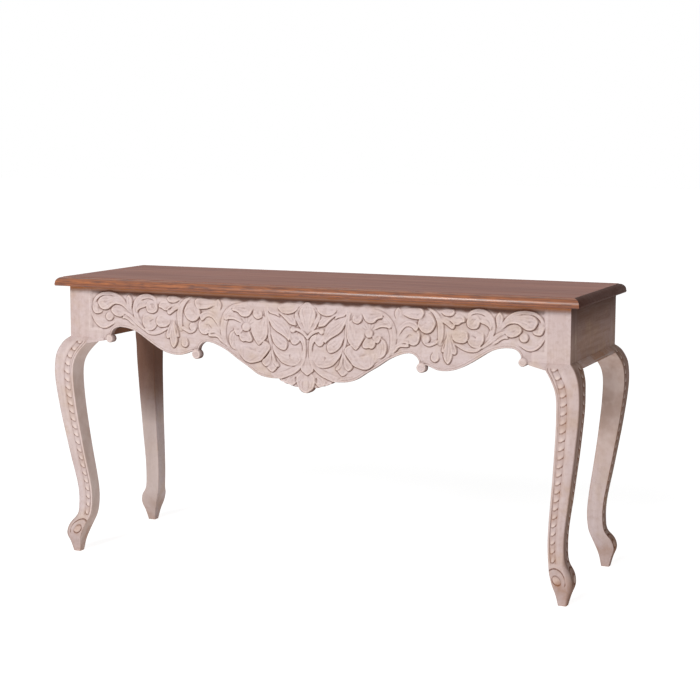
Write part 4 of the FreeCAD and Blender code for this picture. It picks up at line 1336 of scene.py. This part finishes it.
def top_boards():
    """The four boards of the top, cut from one moulded slab, each with eased joint arrises."""
    rings = [np.column_stack([top_outline(inset) * MM, np.full(16, top_face - down * MM)])
             for inset, down in top_profile()]
    slab = bpy.data.meshes.new("slab")
    slab.from_pydata(np.vstack(rings).tolist(), [], skin(len(rings), len(rings[0]), True))
    for number, stain in enumerate(top_stains, 1):
        node = "top_board_%d" % number
        board = bmesh.new()
        board.from_mesh(slab)
        low, high = (corner.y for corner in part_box(node))
        if number > 1:
            cut_board(board, low, -1)
        if number < len(top_stains):
            cut_board(board, high, 1)
        mark_edge(board)
        mesh = bpy.data.meshes.new("stained_" + node)
        board.to_mesh(mesh)
        board.free()
        shown("stained_" + node, smooth_but(mesh, top_sharp), stain, [node])


def hidden_pieces():
    """Finishes of the pieces that stay as the CAD made them, by what their names hold."""
    finishes = (("screws", screw_steel), ("dowels", dowel_wood), ("tongues", dowel_wood), ("corner_brace", raw_wood),
                ("top_button", raw_wood), ("middle_bearer", raw_wood_deep))
    for node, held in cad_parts.items():
        finish = next((material for part, material in finishes if part in node), None)
        if finish:
            held.data.materials.clear()
            held.data.materials.append(finish)


# Stage

def placed(name, data):
    """Put a camera, light or floor on the stage."""
    thing = bpy.data.objects.new(name, data)
    bpy.context.scene.collection.objects.link(thing)
    return thing


def add_camera():
    """The camera, at the photograph's viewing angle."""
    sine, cosine = math.sin(camera_yaw), math.cos(camera_yaw)
    tilt = math.cos(camera_pitch)
    forward = Vector((-sine * tilt, cosine * tilt, -math.sin(camera_pitch)))
    level = Vector((cosine, sine, 0))
    above = level.cross(forward)
    right = math.cos(camera_roll) * level + math.sin(camera_roll) * above
    up = -math.sin(camera_roll) * level + math.cos(camera_roll) * above
    camera = placed("camera", bpy.data.cameras.new("camera"))
    camera.data.sensor_width = sensor_width
    camera.data.lens = focal_pixels * sensor_width / photo_width
    camera.data.clip_end = 3 * floor_size
    turn = Matrix((right, up, -forward)).transposed().to_4x4()
    camera.matrix_world = Matrix.Translation(camera_place) @ turn
    bpy.context.scene.camera = camera


def white_when_seen(nodes, links, unseen, seen_value, socket):
    """Feed a socket one value for light that is seen, straight or mirrored, and another for light that is not."""
    path = nodes.new("ShaderNodeLightPath")
    seen = path.outputs["Is Camera Ray"]
    for kind in ("Is Glossy Ray", "Is Transmission Ray"):
        either = nodes.new("ShaderNodeMath")
        either.operation = "MAXIMUM"
        links.new(seen, either.inputs[0])
        links.new(path.outputs[kind], either.inputs[1])
        seen = either.outputs[0]
    level = nodes.new("ShaderNodeMapRange")
    level.inputs["To Min"].default_value = unseen
    level.inputs["To Max"].default_value = seen_value
    links.new(seen, level.inputs["Value"])
    links.new(level.outputs["Result"], socket)


def aim(light, direction):
    """Turn a light to shine in a direction."""
    light.rotation_euler = Vector(direction).to_track_quat("-Z", "Y").to_euler()


def add_light():
    """A softbox in front, the soft level light of the studio, and even light from all round."""
    sun = placed("studio_light", bpy.data.lights.new("studio_light", "SUN"))
    sun.data.energy = sun_strength
    sun.data.angle = math.radians(sun_softness)
    aim(sun, sun_direction)
    box = placed("softbox", bpy.data.lights.new("softbox", "AREA"))
    box.data.energy = softbox_power
    box.data.size = softbox_size
    box.location = softbox_place
    aim(box, Vector(softbox_target) - Vector(softbox_place))
    world = bpy.data.worlds.new("studio")
    world.use_nodes = True
    bpy.context.scene.world = world
    nodes, links = world.node_tree.nodes, world.node_tree.links
    white_when_seen(nodes, links, ambient_strength, 1.0, nodes["Background"].inputs["Strength"])
    nodes["Background"].inputs["Color"].default_value = (1, 1, 1, 1)


def add_floor():
    """A white floor that keeps a soft shadow of the table."""
    half = floor_size / 2
    mesh = bpy.data.meshes.new("floor")
    mesh.from_pydata([(-half, -half, 0), (half, -half, 0), (half, half, 0), (-half, half, 0)], [], [(0, 1, 2, 3)])
    placed("floor", mesh)
    shader = Shader("floor_white")
    shader.give("Base Color", colour(*floor_tone))
    shader.give("Roughness", 1.0)
    shader.give("Specular IOR Level", 0.0)
    shader.give("Emission Color", (1, 1, 1, 1))
    white_when_seen(shader.nodes, shader.links, floor_bounce, floor_glow, shader.surface.inputs["Emission Strength"])
    mesh.materials.append(shader.material)


# Build

carved_apron()
# The side pieces and the back apron take the darker wash, and painted shade on their faces towards the middle of the
# table
for side, side_name in ((-1, "left"), (1, "right")):
    for end, end_name in ((-1, "front"), (1, "back")):
        cabriole_leg(side, end, "%s_%s_leg" % (end_name, side_name))
        eased("%s_%s_knee_bracket" % (end_name, side_name), bracket_ease, carved_paint)
    eased(side_name + "_side_apron", side_apron_ease, side_paint, wear_and_shade=0.2, wash_shade=1.0, shaded=0)
    eased(side_name + "_side_moulding", moulding_ease, side_paint, wear_and_shade=0.8, wash_shade=0.4, shaded=0)
eased("back_apron", back_apron_ease, carved_paint, wear_and_shade=0.2, wash_shade=0.6, shaded=1)
top_boards()
hidden_pieces()
add_camera()
add_light()
add_floor()
bpy.context.scene.view_settings.view_transform = "Standard"
